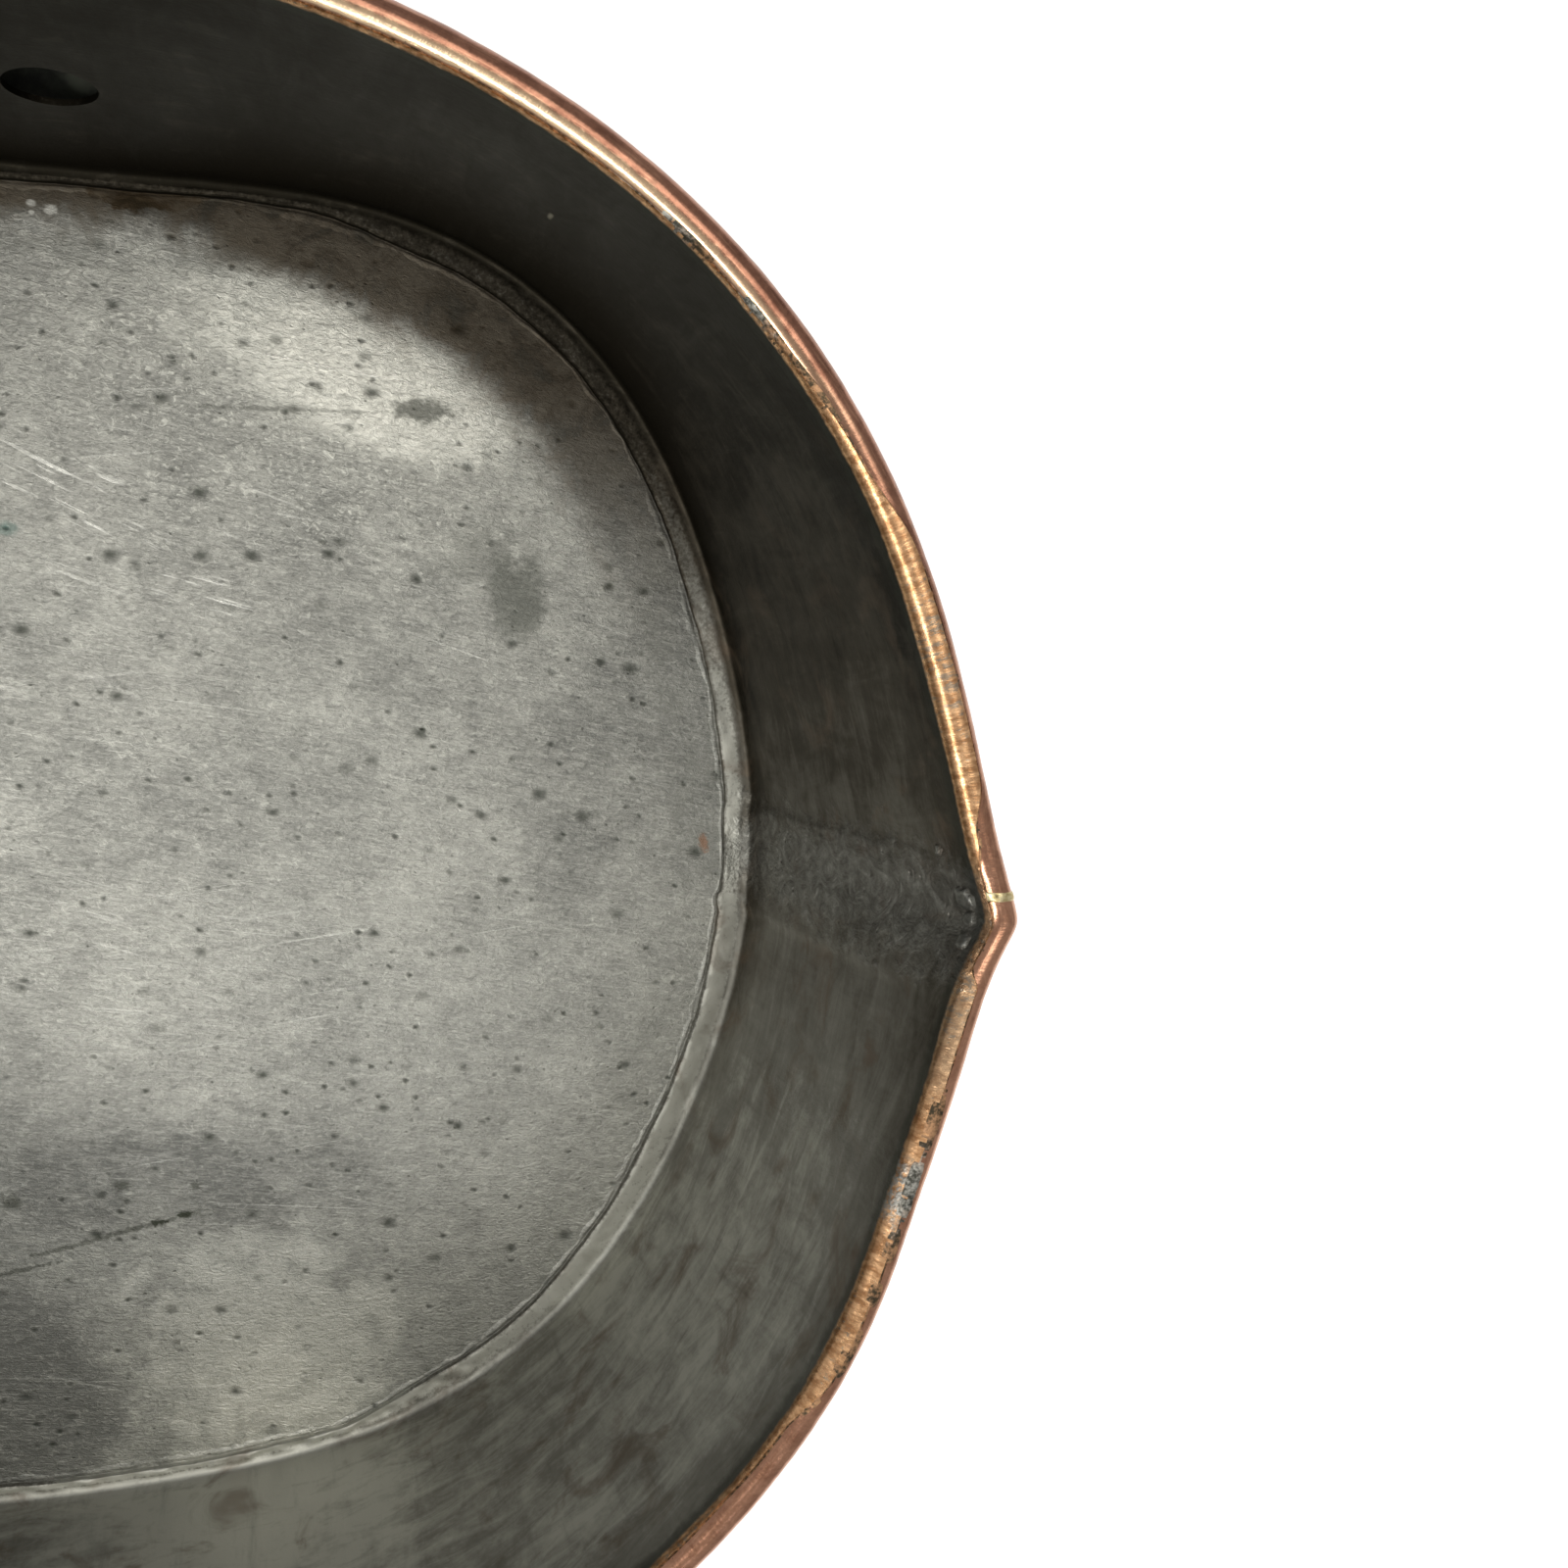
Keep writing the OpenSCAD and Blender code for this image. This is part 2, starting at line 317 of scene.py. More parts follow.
def hairlines(place, turn, length, gap, thin, seed=0.0):
    """Long straight fine scratches in one direction, broken off here and there."""
    shifted = place.node("Mapping", values={0: place, 1: (seed, -seed, 0)})
    run = turned(shifted, (0.002, 1 / gap, 0.01), turn)
    wave = place.node("TexNoise", values={"Vector": run, "Scale": 1.0, "Detail": 1.0, "Roughness": 0.5})
    ridge = wave.math("ABSOLUTE", wave - 0.5)
    broken = cloud(turned(shifted, (1 / length, 0.7 / gap, 0.01), turn), 1, 2, 0.6)
    return (1 - step(ridge, 0, thin)) * step(broken, 0.52, 0.66)


def stain_and_painted_light(place, x, y, wide, tall, turn=0, ragged=0.5, grain=3.0):
    """One soft-edged patch, 1 in its middle and 0 outside, which serves for stains and for painted light and
    shade.
    """
    settings = {"vector_type": "TEXTURE"}
    values = {0: place, 1: (x, y, 0), 2: (0, 0, math.radians(turn)), 3: (wide, tall, 1000)}
    near = place.node("Mapping", settings, values)
    far = near.node("VectorMath", {"operation": "LENGTH"}, {0: near}, out=1)
    edge = far + ragged * (cloud(place, grain) - 0.5) * 2
    return 1 - step(edge, 0.4, 1.1)


def bump(value, height, strength=1.0, under=None):
    """Bump normal from a value whose full step is the height in millimetres."""
    values = {"Strength": strength, "Distance": height * MM, "Height": value}
    if under:
        values["Normal"] = under
    return value.node("Bump", values=values)


DISC_COLUMNS = 480
DISC_ROWS_TOP = 74
DISC_ROWS_UNDER = 26
TIN_DROPS = ((-4.2, 104), (-7, 104.8), (-7, 103.3))


def floor_dent(x, y):
    """Height of the uneven top of the floor over its flat height."""
    height = 0.12 * waver(x, y, 0, 34) + 0.03 * waver(x, y, 0, 9, 1)
    for cx, cy, wide, deep in ((53, 76, 2.4, -0.2), (22, 24, 4, -0.08), (34, -26, 5, -0.08)):
        height += deep * bell(math.hypot(x - cx, y - cy), wide)
    for cx, cy in TIN_DROPS:
        height += 0.25 * bell(math.hypot(x - cx, y - cy), 0.7)
    return height


def disc_section(turn):
    """The disc from its middle over the top to the edge, and back underneath."""
    edge = foot_in(turn) + SHEET - DISC_EDGE
    points = []
    for i in range(DISC_ROWS_TOP):
        radius = edge * i / DISC_ROWS_TOP
        loose = ease(edge - radius, STRIP_W, STRIP_W + 9)
        points.append((radius, FLOOR_T + loose * (floor_dent(*on_circle(radius, turn)) - 0.1)))
    points += [(edge - 0.2, FLOOR_T), (edge - 0.04, FLOOR_T - 0.1), (edge, FLOOR_T - 0.3)]
    points += [(edge, 0.4), (edge - 0.1, 0.15), (edge - 0.35, 0.03)]
    for i in range(DISC_ROWS_UNDER):
        radius = (edge - 1) * (1 - i / (DISC_ROWS_UNDER - 1))
        uneven = 0.6 + waver(*on_circle(radius, turn), 9, 22)
        hollow = 0.25 * ease(edge - radius, 0, 8) * uneven
        points.append((radius, max(hollow, 0)))
    return points


disc = draw_rings("pan_floor", DISC_COLUMNS, DISC_ROWS_TOP + 6 + DISC_ROWS_UNDER)
close_up(shape_rings(disc, round_turns(DISC_COLUMNS), disc_section))

finish, shader, place = start_finish("worn_tin_floor")
strip = place.node("UVMap", {"uv_map": "strip"})
DISC_EDGE_R = disc_section(0)[DISC_ROWS_TOP - 1][0]
to_edge = along_axis(strip, 1) / DISC_EDGE_R
side = along_axis(place, 1)
brush = 0.5 * cloud(turned(place, (0.22, 2.6, 1), 12), 1, 5, 0.7)
brush = brush + 0.5 * cloud(turned(place, (0.5, 4.5, 1), 9), 1, 3, 0.6)
tone = cloud(place, 34, 6, 0.6, 0.4)
patch = cloud(place, 8, 6, 0.68, 0.6)
fine = cloud(place, 0.7, 4, 0.75)
crease = cloud(turned(place, (0.5, 1.1, 1), 12), 2.2, 6, 0.72, 0.5)
mottle = 0.4 * tone + 0.3 * patch + 0.3 * fine
light = 0.62 * step(mottle, 0.32, 0.66) + 0.9 * (crease - 0.5) + 0.08
# Painted light: the bright patches at (42, 84), (26, -90), (28, -99) and (70, -60) are painted highlights,
# reflections of the lamp and the doorway in the tin; the dark patches at (95, 20) and (-13, -94) are painted
# dark reflections.
light = light + 1.2 * stain_and_painted_light(place, 42, 84, 34, 15, -22, 0.6, 8) + 0.75 * stain_and_painted_light(place, 26, -90, 24, 28, 10, 0.8, 6)
light = light + 0.7 * stain_and_painted_light(place, 28, -99, 15, 13, 10, 0.9, 5) + 0.15 * stain_and_painted_light(place, 70, -60, 32, 26, -40, 0.8, 8)
light = light - 0.16 * stain_and_painted_light(place, 95, 20, 34, 60, 0, 0.5, 12)
light = light - 0.8 * stain_and_painted_light(place, -13, -94, 15, 22, 0, 0.3, 8) - 0.25 * stain_and_painted_light(place, 12, -55, 34, 12, 0, 0.6, 9)
colour = tint(light, (0.17, 0.172, 0.16), (0.50, 0.50, 0.455))
crinkle = cloud(turned(place, (0.75, 1.1, 1), 12), 1.0, 5, 0.72, 1.4)
# Painted light on the crinkle relief: painted shade in its hollows and painted glints on its ridges, strongest
# in the lamp's highlight.
colour = tint((1 - step(crinkle, 0.34, 0.46)) * 0.45, colour, (0.15, 0.152, 0.14))
painted_glints = 0.22 + 0.28 * stain_and_painted_light(place, 30, 78, 52, 32, -20, 0.8, 8)
colour = tint(step(crinkle, 0.50, 0.68) * painted_glints, colour, (0.80, 0.80, 0.73))
# Painted highlights: pale tin laid over the reflections of the lamp and the doorway.
painted_highlight = 0.4 * stain_and_painted_light(place, 46, 82, 26, 13, -22, 0.9, 5) + 0.5 * stain_and_painted_light(place, 27, -97, 16, 13, 10, 1.0, 5)
colour = tint(painted_highlight, colour, (0.76, 0.75, 0.68))
colour = tint(step(brush, 0.46, 0.72) * 0.40, colour, (0.62, 0.62, 0.57))
colour = tint((1 - step(brush, 0.30, 0.46)) * 0.5, colour, (0.11, 0.11, 0.10))
bent = place.node("TexNoise", values={"Vector": place, "Scale": 0.8, "Detail": 1.0}, out=1)
bent = place.node("VectorMath", {"operation": "SCALE"}, {0: bent, "Scale": 0.6})
shaken = place.node("VectorMath", {"operation": "ADD"}, {0: turned(place, (0.75, 1.05, 1), 12), 1: bent})
pits = speckle(shaken, 5.2, 0.66, 0.45) + speckle(shaken, 2.4, 0.36, 0.36, 5)
pits = pits * step(cloud(place, 18, 3, 0.6), 0.37, 0.52)
pits = pits + speckle(shaken, 8, 0.85, 0.35, 11) + 0.6 * speckle(shaken, 1.5, 0.16, 0.2, 17)
colour = tint(pits * 0.85, colour, (0.05, 0.056, 0.045))
stain = stain_and_painted_light(place, 53, 76, 6.5, 2.6, 0, 0.9, 1.6)
stain = stain + 0.5 * stain_and_painted_light(place, 30, 75, 18, 0.5, 1, 0.9, 1.0)
colour = tint(stain * 0.7, colour, (0.06, 0.065, 0.05))
past_middle = step(along_axis(place, 0), 5, 48)
shade = step(to_edge + 0.10 * (patch - 0.5) + 0.085 * past_middle, 0.90, 0.975) * step(side, 30, 85)
shade = shade + 0.8 * stain_and_painted_light(place, 10, 108, 9, 3, 0, 0.8, 3)
colour = tint(shade * 0.9, colour, tint(step(patch, 0.32, 0.68), (0.03, 0.023, 0.013), (0.09, 0.062, 0.036)))
smudge = 1.6 * stain_and_painted_light(place, 69, 45, 7, 9, 0, 0.8, 4) + 0.8 * stain_and_painted_light(place, 62, 52, 10, 6, 20, 0.8, 5)
smudge = smudge + 0.6 * step(to_edge + 0.08 * (patch - 0.5), 0.86, 0.90) * step(patch, 0.45, 0.6)
colour = tint(smudge * 0.45, colour, (0.11, 0.115, 0.10))
colour = tint(stain_and_painted_light(place, 103.5, 0, 1.1, 2.2, 10, 0.9, 0.8) * 0.7, colour, (0.26, 0.13, 0.07))
colour = tint(stain_and_painted_light(place, -12, 54, 2.2, 1.4, 0, 0.7, 1) * 0.5, colour, (0.09, 0.17, 0.15))
tin_drops = stain_and_painted_light(place, *TIN_DROPS[0], 1.3, 1.0, 0, 0.5, 0.8)
tin_drops = tin_drops + stain_and_painted_light(place, *TIN_DROPS[1], 0.8, 0.7) + stain_and_painted_light(place, *TIN_DROPS[2], 0.6, 0.5)
colour = tint(tin_drops * 0.6, colour, (0.75, 0.75, 0.7))
marks = stain_and_painted_light(place, 0, -64.5, 19, 0.6, 11, 1.3, 1.0) + stain_and_painted_light(place, -14, -69, 8, 0.5, 8, 1.5, 0.8)
for dot_x, dot_y, dot_r in ((8, -63, 1.3), (12, -62, 1.2), (2, -56, 1.7), (14, -57, 1.1), (-15, -57, 2.4)):
    marks = marks + stain_and_painted_light(place, dot_x, dot_y, dot_r, dot_r * 0.75, 0, 1.0, 1.0)
colour = tint(marks * 0.6, colour, (0.055, 0.06, 0.045))
lines = hairlines(place, 8, 30, 0.9, 0.016) + hairlines(place, -7, 40, 2.0, 0.010, 3)
lines = lines + hairlines(place, 20, 22, 1.7, 0.012, 9)
lines = lines * step(cloud(place, 26, 2, 0.5), 0.42, 0.6)
lines = lines + 2.4 * hairlines(place, 27, 9, 1.1, 0.05, 2) * stain_and_painted_light(place, -2, 60, 19, 7, -27, 0.5, 5)
lines = lines + 2.4 * hairlines(place, 16, 9, 1.1, 0.05, 8) * stain_and_painted_light(place, 16, 46, 15, 5, -20, 0.5, 5)
lines = lines * (1 - shade)
colour = tint(lines * 0.25, colour, (0.85, 0.85, 0.8))
gloss = 0.43 - 0.08 * light + 0.15 * stain + 0.2 * shade + 0.16 * pits - 0.06 * lines
height = 0.4 * brush + 1.1 * crinkle - 0.9 * pits + 1.0 * crease
normal = bump(height, 0.15, 0.85)
normal = bump(lines, 0.014, 0.8, normal)
set_shader(shader, colour, 0.92, gloss, normal)
worn_tin = finish
disc.data.materials.append(worn_tin)

finish, shader, place = start_finish("bare_copper")
tone = cloud(place, 26, 6, 0.62, 0.5)
patch = cloud(place, 6, 5, 0.65, 0.8)
fine = cloud(place, 0.9, 4, 0.7)
brush = cloud(turned(place, (0.08, 1.1, 0.9), 30), 1, 4, 0.6)
wear = 0.5 * tone + 0.35 * patch + 0.15 * fine
colour = tint(step(wear, 0.34, 0.64), (0.22, 0.095, 0.05), (0.62, 0.31, 0.19))
colour = tint(step(cloud(place, 14, 5, 0.7, 1.2), 0.56, 0.72) * 0.6, colour, (0.13, 0.07, 0.045))
lines = hairlines(place, 40, 40, 1.6, 0.008) + hairlines(place, -25, 50, 2.6, 0.006, 4)
colour = tint(lines * 0.4, colour, (0.85, 0.50, 0.34))
gloss = 0.44 - 0.16 * step(wear, 0.36, 0.64) + 0.1 * fine
hammer = place.node("TexVoronoi", {"feature": "SMOOTH_F1"}, {"Vector": place, "Scale": 1 / 9, "Smoothness": 0.6})
normal = bump(hammer, 0.25, 0.5)
normal = bump(0.5 * brush + 0.5 * fine - lines, 0.02, 0.7, normal)
set_shader(shader, colour, 1.0, gloss, normal)
bare_copper = finish
disc.data.materials.append(bare_copper)
for face in disc.data.polygons:
    face.material_index = 1 if face.normal.z < 0.3 else 0
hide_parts("floor_disc")
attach(disc, "root")


# ---- Wall ----
# One strip of sheet copper, lapped and soldered under the pouring lip and turned in over the floor's edge.
# Its top is rolled outwards over an iron wire. It is tinned inside, and the tin is worn off the roll.
RIM_R = 125
RIM_Z = 75
RIM_OVAL = 0.011
RIM_SQUARE = 0.010
LIP_OUT = 6.5
LIP_TURN = -0.8
LIP_ROUND = 0.8
LIP_WIDE = 7
LIP_NARROW = 4
LIP_FADE = 1.8
DENT = 1.3
WIRE_R = 1.75
ROLL_R = WIRE_R + SHEET
STRIP_Z = FLOOR_T + SHEET
WALL_H = RIM_Z - STRIP_Z
BEND_R = 1.4
LAP_STEP = 0.5
HOLE_R = 6.25
HOLE_Z = 33.5
DRILL_Y = 0.1155
DRILL_LONG = 0.03


def lip(turn):
    """Reach of the pouring lip beyond the round rim, less the dent beside it."""
    u = signed(turn) - LIP_TURN
    run = LIP_WIDE if u > 0 else LIP_NARROW
    reach = LIP_OUT * math.exp((LIP_ROUND - math.hypot(u, LIP_ROUND)) / run)
    return reach - DENT * bell(signed(turn) + 20, 8)


def rim_plain(turn):
    a = math.radians(turn)
    return RIM_R * (1 + RIM_OVAL * math.cos(2 * a) - RIM_SQUARE * math.cos(4 * a))


def wire_c(turn):
    """Radius of the middle of the rim wire."""
    return rim_plain(turn) + lip(turn) - ROLL_R


def lap(turn):
    """Step of the overlap, whose two ends are hammered down."""
    return LAP_STEP * ease(signed(turn), -7, -6) * (1 - ease(signed(turn), 3, 4))


def wall_in(turn, share):
    """Inner radius of the wall at a share of its height."""
    plain = foot_in(turn) * (1 - share) + (rim_plain(turn) - 2 * ROLL_R) * share + lip(turn) * share**LIP_FADE
    return plain - lap(turn) * (1 - share**6)


def arc(radius, height, size, first, last, steps):
    """Points of an arc in a section, by radius and height."""
    turns = [math.radians(first + (last - first) * i / steps) for i in range(steps + 1)]
    return [(radius + size * math.cos(b), height + size * math.sin(b)) for b in turns]


GROOVE_RUN = (
    # turn round the rim, and how far the groove lies round the roll from its outer side, in degrees
    (-180, 146), (-46, 148), (-38, 138), (-33, 90), (-14, 97), (-5.5, 92), (-3.6, 138), (2.2, 140),
    (5, 120), (9, 66), (24, 70), (31, 118), (40, 150), (180, 146),
)


def groove_at(turn):
    """Where round the roll the wall's lip meets the band."""
    spot = signed(turn)
    for (first, one), (last, two) in zip(GROOVE_RUN, GROOVE_RUN[1:]):
        if first <= spot <= last:
            return one + (two - one) * ease(spot, first, last)
    return GROOVE_RUN[0][1]


WALL_COLUMNS = 1040
SHARES_IN = [0.02 + 0.965 * i / 35 for i in range(36)]
SHARES_OUT = [0.04 + 0.93 * i / 17 for i in range(18)]


def strip_lift(turn):
    """How much higher the turned-in strip stands beyond the end of the overlap."""
    return 0.45 * ease(-signed(turn), 4.7, 5.3) * (1 - ease(-signed(turn), 22, 60))


def strip_edge(turn):
    """Radius of the cut edge of the turned-in strip, which is dressed narrower on one side."""
    x, y = on_circle(60, turn)
    ragged = 0.35 * waver(x, y, 0, 9, 2) + 0.15 * waver(x, y, 0, 1.5, 19)
    narrow = 2.2 * ease(-signed(turn), 60, 72) * (1 - ease(-signed(turn), 118, 135))
    narrow += 2.4 * ease(signed(turn), 62, 74) * (1 - ease(signed(turn), 125, 140))
    return foot_in(turn) - lap(turn) - STRIP_W + ragged + narrow - 1.6 * strip_lift(turn)


def wall_row(turn, share, out):
    """One row of the wall, the given distance outside its inner face."""
    radius = wall_in(turn, share) + out
    height = STRIP_Z + share * WALL_H
    x, y = on_circle(118, turn)
    dents = 0.22 * waver(x, y, height / 2, 13, 3) + 0.10 * waver(x, y, height, 5, 4)
    return radius + dents * math.sin(math.pi * min(share, 1)) ** 0.5, height


def wall_section(turn):
    """The wall from the strip's cut edge up the inside, over the wire and down the outside."""
    x, y = on_circle(123, turn)
    foot = foot_in(turn) - lap(turn)
    bend_c, bend_z = foot - BEND_R, STRIP_Z + BEND_R
    lift = strip_lift(turn)
    edge = strip_edge(turn)
    tip = groove_at(turn) + 3 + 2 * waver(x, y, 0, 1.6, 5) + 3 * waver(x, y, 0, 6, 6)
    bottom = [(edge, FLOOR_T), (edge + 0.02, STRIP_Z - 0.3 + 0.6 * lift)]
    bottom.append((edge + 0.16, STRIP_Z - 0.05 + 0.8 * lift))
    rough_from, rough_to = ease(-signed(turn), 50, 62), 1 - ease(-signed(turn), 84, 100)
    strip = []
    for i in range(7):
        share = i / 6
        radius = edge + 0.4 + (bend_c - edge - 0.4) * share
        on_x, on_y = on_circle(radius, turn)
        lumps = 0.16 * waver(on_x, on_y, 0, 2.6, 7) + 0.1 * waver(x, y, 0, 7, 9)
        lumps += 0.06 * waver(on_x, on_y, 0, 0.9, 18)
        lumps += 0.3 * waver(on_x, on_y, 0, 1.8, 20) * rough_from * rough_to
        height = STRIP_Z + lift * (1 - share**1.6)
        strip.append((radius, height + lumps * math.sin(math.pi * (share + 0.25) / 1.5)))
    inner_bend = arc(bend_c, bend_z, BEND_R + 0.1 * waver(x, y, 0, 4, 10), -75, -10, 4)
    inner = [wall_row(turn, share, 0) for share in SHARES_IN]
    flat = 0.10 * waver(x, y, 0, 3.5, 8) + 0.5 * bell(signed(turn) + 19.5, 3) * (waver(x, y, 0, 0.9, 17) - 0.4)
    crown = arc(wire_c(turn), RIM_Z, ROLL_R + flat * 0.5, 176, tip, 12)
    under = arc(wire_c(turn), RIM_Z, WIRE_R, tip, 180, 5)
    outer = [wall_row(turn, share, SHEET) for share in reversed(SHARES_OUT)]
    outer_bend = arc(bend_c, bend_z, BEND_R + SHEET, 0, -90, 5)
    return bottom + strip + inner_bend + inner + crown + under + outer + outer_bend + bottom[:1]


# Rows of the section: the strip's edge and face, the bend, the inside, and the crown of the roll.
STRIP_ROWS = 3 + 7
INNER_ROWS = STRIP_ROWS + 5 + len(SHARES_IN) + 13
wall = draw_rings("pan_wall", WALL_COLUMNS, len(wall_section(0)))
shape_rings(wall, round_turns(WALL_COLUMNS), wall_section)
across_rows = sorted({round(loop.uv[1], 4) for loop in wall.data.uv_layers["strip"].data})
across_bend, across_roll = across_rows[STRIP_ROWS - 1], across_rows[INNER_ROWS]
close_up(wall)


def outline_of(wall_face):
    """How far across the section a face lies, from the strip's edge."""
    map_of = wall.data.uv_layers["strip"].data
    return sum(map_of[loop].uv[1] for loop in wall_face.loop_indices) / wall_face.loop_total


for face in wall.data.polygons:
    face.material_index = 0 if outline_of(face) < across_roll else 1

bpy.ops.object.select_all(action="DESELECT")
bpy.ops.mesh.primitive_cylinder_add(vertices=96, radius=HOLE_R * MM, depth=DRILL_LONG,
                                    rotation=(math.pi / 2, 0, 0), location=(0, DRILL_Y, HOLE_Z * MM))
drill = bpy.context.object
cut = wall.modifiers.new("handle_hole", "BOOLEAN")
cut.object = drill
cut.operation = "DIFFERENCE"
cut.solver = "EXACT"
bpy.context.view_layer.objects.active = wall
bpy.ops.object.modifier_apply(modifier="handle_hole")
bpy.data.objects.remove(drill)

finish, shader, place = start_finish("tarnished_tin_wall")
strip = place.node("UVMap", {"uv_map": "strip"})
height = along_axis(place, 2)
side = along_axis(place, 1)
tone = cloud(turned(place, (1, 1, 0.5)), 22, 6, 0.6, 0.5)
patch = cloud(turned(place, (1, 1, 0.4)), 6, 6, 0.68, 0.8)
fine = cloud(place, 0.8, 4, 0.7)
mottle = 0.45 * tone + 0.38 * patch + 0.17 * fine
along = along_axis(strip, 0)
across = along_axis(strip, 1)
streak = cloud(turned(strip, (0.3, 1, 1), 4), 4, 6, 0.68, 0.8)
# Painted shade, partly darker tarnish: the tin is painted far darker towards the handle, where the wall lies in
# shade, with painted lighter patches on the lit side away from it; it is also darker towards the top.
light = 0.03 + (1 - step(side, -85, 100)) * 0.84 + 0.75 * (mottle - 0.5) + 0.6 * (streak - 0.5)
light = light + 0.06 * stain_and_painted_light(place, 100, -62, 34, 44, 0, 0.4, 12)
light = light + 0.16 * stain_and_painted_light(place, 20, -110, 34, 14, 0, 0.4, 12)
light = light - 0.18 * step(height, 62, 73) - 0.08 * step(side, 50, 100)
# Painted shade in the bend at the wall's foot, on all but the lit side away from the handle.
foot_shade = step(height, 2.7, 3.4) * (1 - step(height, 5, 14)) * step(side, -75, -20)
light = light - 0.24 * foot_shade
seam_zone = stain_and_painted_light(place, 120, -1.5, 17, 11, -6, 0.8, 3.5)
swirls = cloud(place, 5, 5, 0.62, 2.6)
light = light + seam_zone * (0.18 + 1.2 * (swirls - 0.5))
round_mm = math.radians(max(radius for radius, height in wall_section(0)))
on_strip = 1 - step(across + 0.9 * (patch - 0.5), across_bend - 1.0, across_bend + 0.5)
raised = step(along, 296 * round_mm, 335 * round_mm) * (1 - step(along, 354.7 * round_mm, 355.2 * round_mm))
# Painted light on the turned-in strip: a painted highlight along part of its crest, painted shade in its corner
# by the bend, and painted shade on the handle's side.
painted_crest_highlight = step(along, 262 * round_mm, 272 * round_mm) * (1 - step(along, 288 * round_mm, 300 * round_mm))
strip_light = 1.04 + 0.9 * (mottle - 0.5) + 0.9 * (fine - 0.5) + 0.08 * raised - 0.80 * step(side, 20, 80)
strip_light = strip_light + 1.2 * painted_crest_highlight * (1 - step(across, 1.6, 2.8))
corner_shade = 0.2 * step(across, across_bend - 1.6, across_bend) * (1 - raised)
strip_light = strip_light - 0.35 * (1 - step(across, 0.7, 1.5)) - corner_shade
light = light * (1 - on_strip) + strip_light * on_strip
stops = ((0.0, (0.011, 0.009, 0.005)), (0.3, (0.058, 0.050, 0.037)), (0.55, (0.15, 0.142, 0.12)),
         (0.8, (0.27, 0.265, 0.235)), (1.0, (0.50, 0.50, 0.45)))
colour = light.node("ValToRGB", {"stops": stops}, {0: light})
browned = step(cloud(place, 12, 4, 0.6, 0.8), 0.52, 0.72) * (1 - step(side, -10, 90)) * 0.6
colour = tint(browned, colour, (0.15, 0.11, 0.078))
drip = cloud(turned(place, (1, 1, 0.06)), 2.2, 4, 0.6)
colour = tint(step(drip, 0.55, 0.8) * 0.25, colour, (0.04, 0.038, 0.03))
ragged = cloud(strip, 2.2, 5, 0.7) - 0.5
around = cloud(strip, 26, 2, 0.5) - 0.5
worn = step(height + 1.1 * ragged + 2.0 * around, 75.1, 75.9)
colour = tint(step(height + 2 * ragged, 72.5, 74.5) * 0.6, colour, (0.025, 0.028, 0.02))
gold = tint(step(cloud(strip, 1.3, 4, 0.7), 0.35, 0.7), (0.36, 0.18, 0.08), (0.82, 0.50, 0.27))
below_lip = stain_and_painted_light(place, 124, -20, 9, 13, 0, 0.4, 3)
gold = tint(below_lip * 0.4, gold, (0.34, 0.29, 0.21))
silver = stain_and_painted_light(place, 112, -40, 4.5, 6, 0, 0.7, 1.5)
gold = tint(silver * step(fine, 0.4, 0.55), gold, (0.34, 0.33, 0.30))
crumb = step(cloud(strip, 0.9, 4, 0.75) + 0.5 * around, 0.58, 0.66)
gold = tint(crumb * 0.7, gold, (0.24, 0.22, 0.18))
colour = tint(worn, colour, gold)
gloss = 0.5 + 0.12 * fine - 0.08 * step(mottle, 0.4, 0.6) - 0.24 * worn
seam_pits = speckle(place, 2.4, 0.3, 0.4, 3) * seam_zone
scratch = stain_and_painted_light(place, 66, 98, 5, 0.5, 40, 0.3, 2) * step(height, 42.5, 44) * (1 - step(height, 45, 46.5))
colour = tint(scratch * 0.6, colour, (0.4, 0.38, 0.3))
colour = tint(seam_zone * 0.3, colour, (0.10, 0.105, 0.105))
normal = bump(0.5 * patch + 0.3 * fine + 0.3 * drip + 0.5 * streak, 0.12, 0.8)
normal = bump((swirls + 0.4 * fine) * seam_zone - 0.8 * seam_pits, 0.5, 0.9, normal)
filed = cloud(turned(strip, (2.6, 0.35, 1)), 1, 3, 0.6)
normal = bump(ragged * worn + 0.5 * filed * worn + 2 * fine * silver, 0.12, 0.8, normal)
set_shader(shader, colour, 0.88, gloss, normal)
tarnished_tin = finish
wall.data.materials.append(tarnished_tin)
wall.data.materials.append(bare_copper)
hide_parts("wall")
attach(wall, "root")


# ---- Seam tin ----
# Solder wiped over the overlap of the wall below the lip, left rough where the iron dragged it.
# Three beads of it stand at the top, where the roll begins.
SEAM_TURNS = (-7.5, 6.5)
SEAM_SHARES = (0.03, 0.985)
SEAM_ACROSS = 120
SEAM_UP = 220
BEADS = (
    # turn, share of the wall's height, half width, height off the wall
    (0.35, 0.955, 1.7, 0.9), (-0.9, 0.962, 1.1, 0.7), (-2.3, 0.968, 1.3, 0.6),
    (3.6, 0.90, 0.8, 0.5), (-6.0, 0.70, 0.7, 0.4),
)


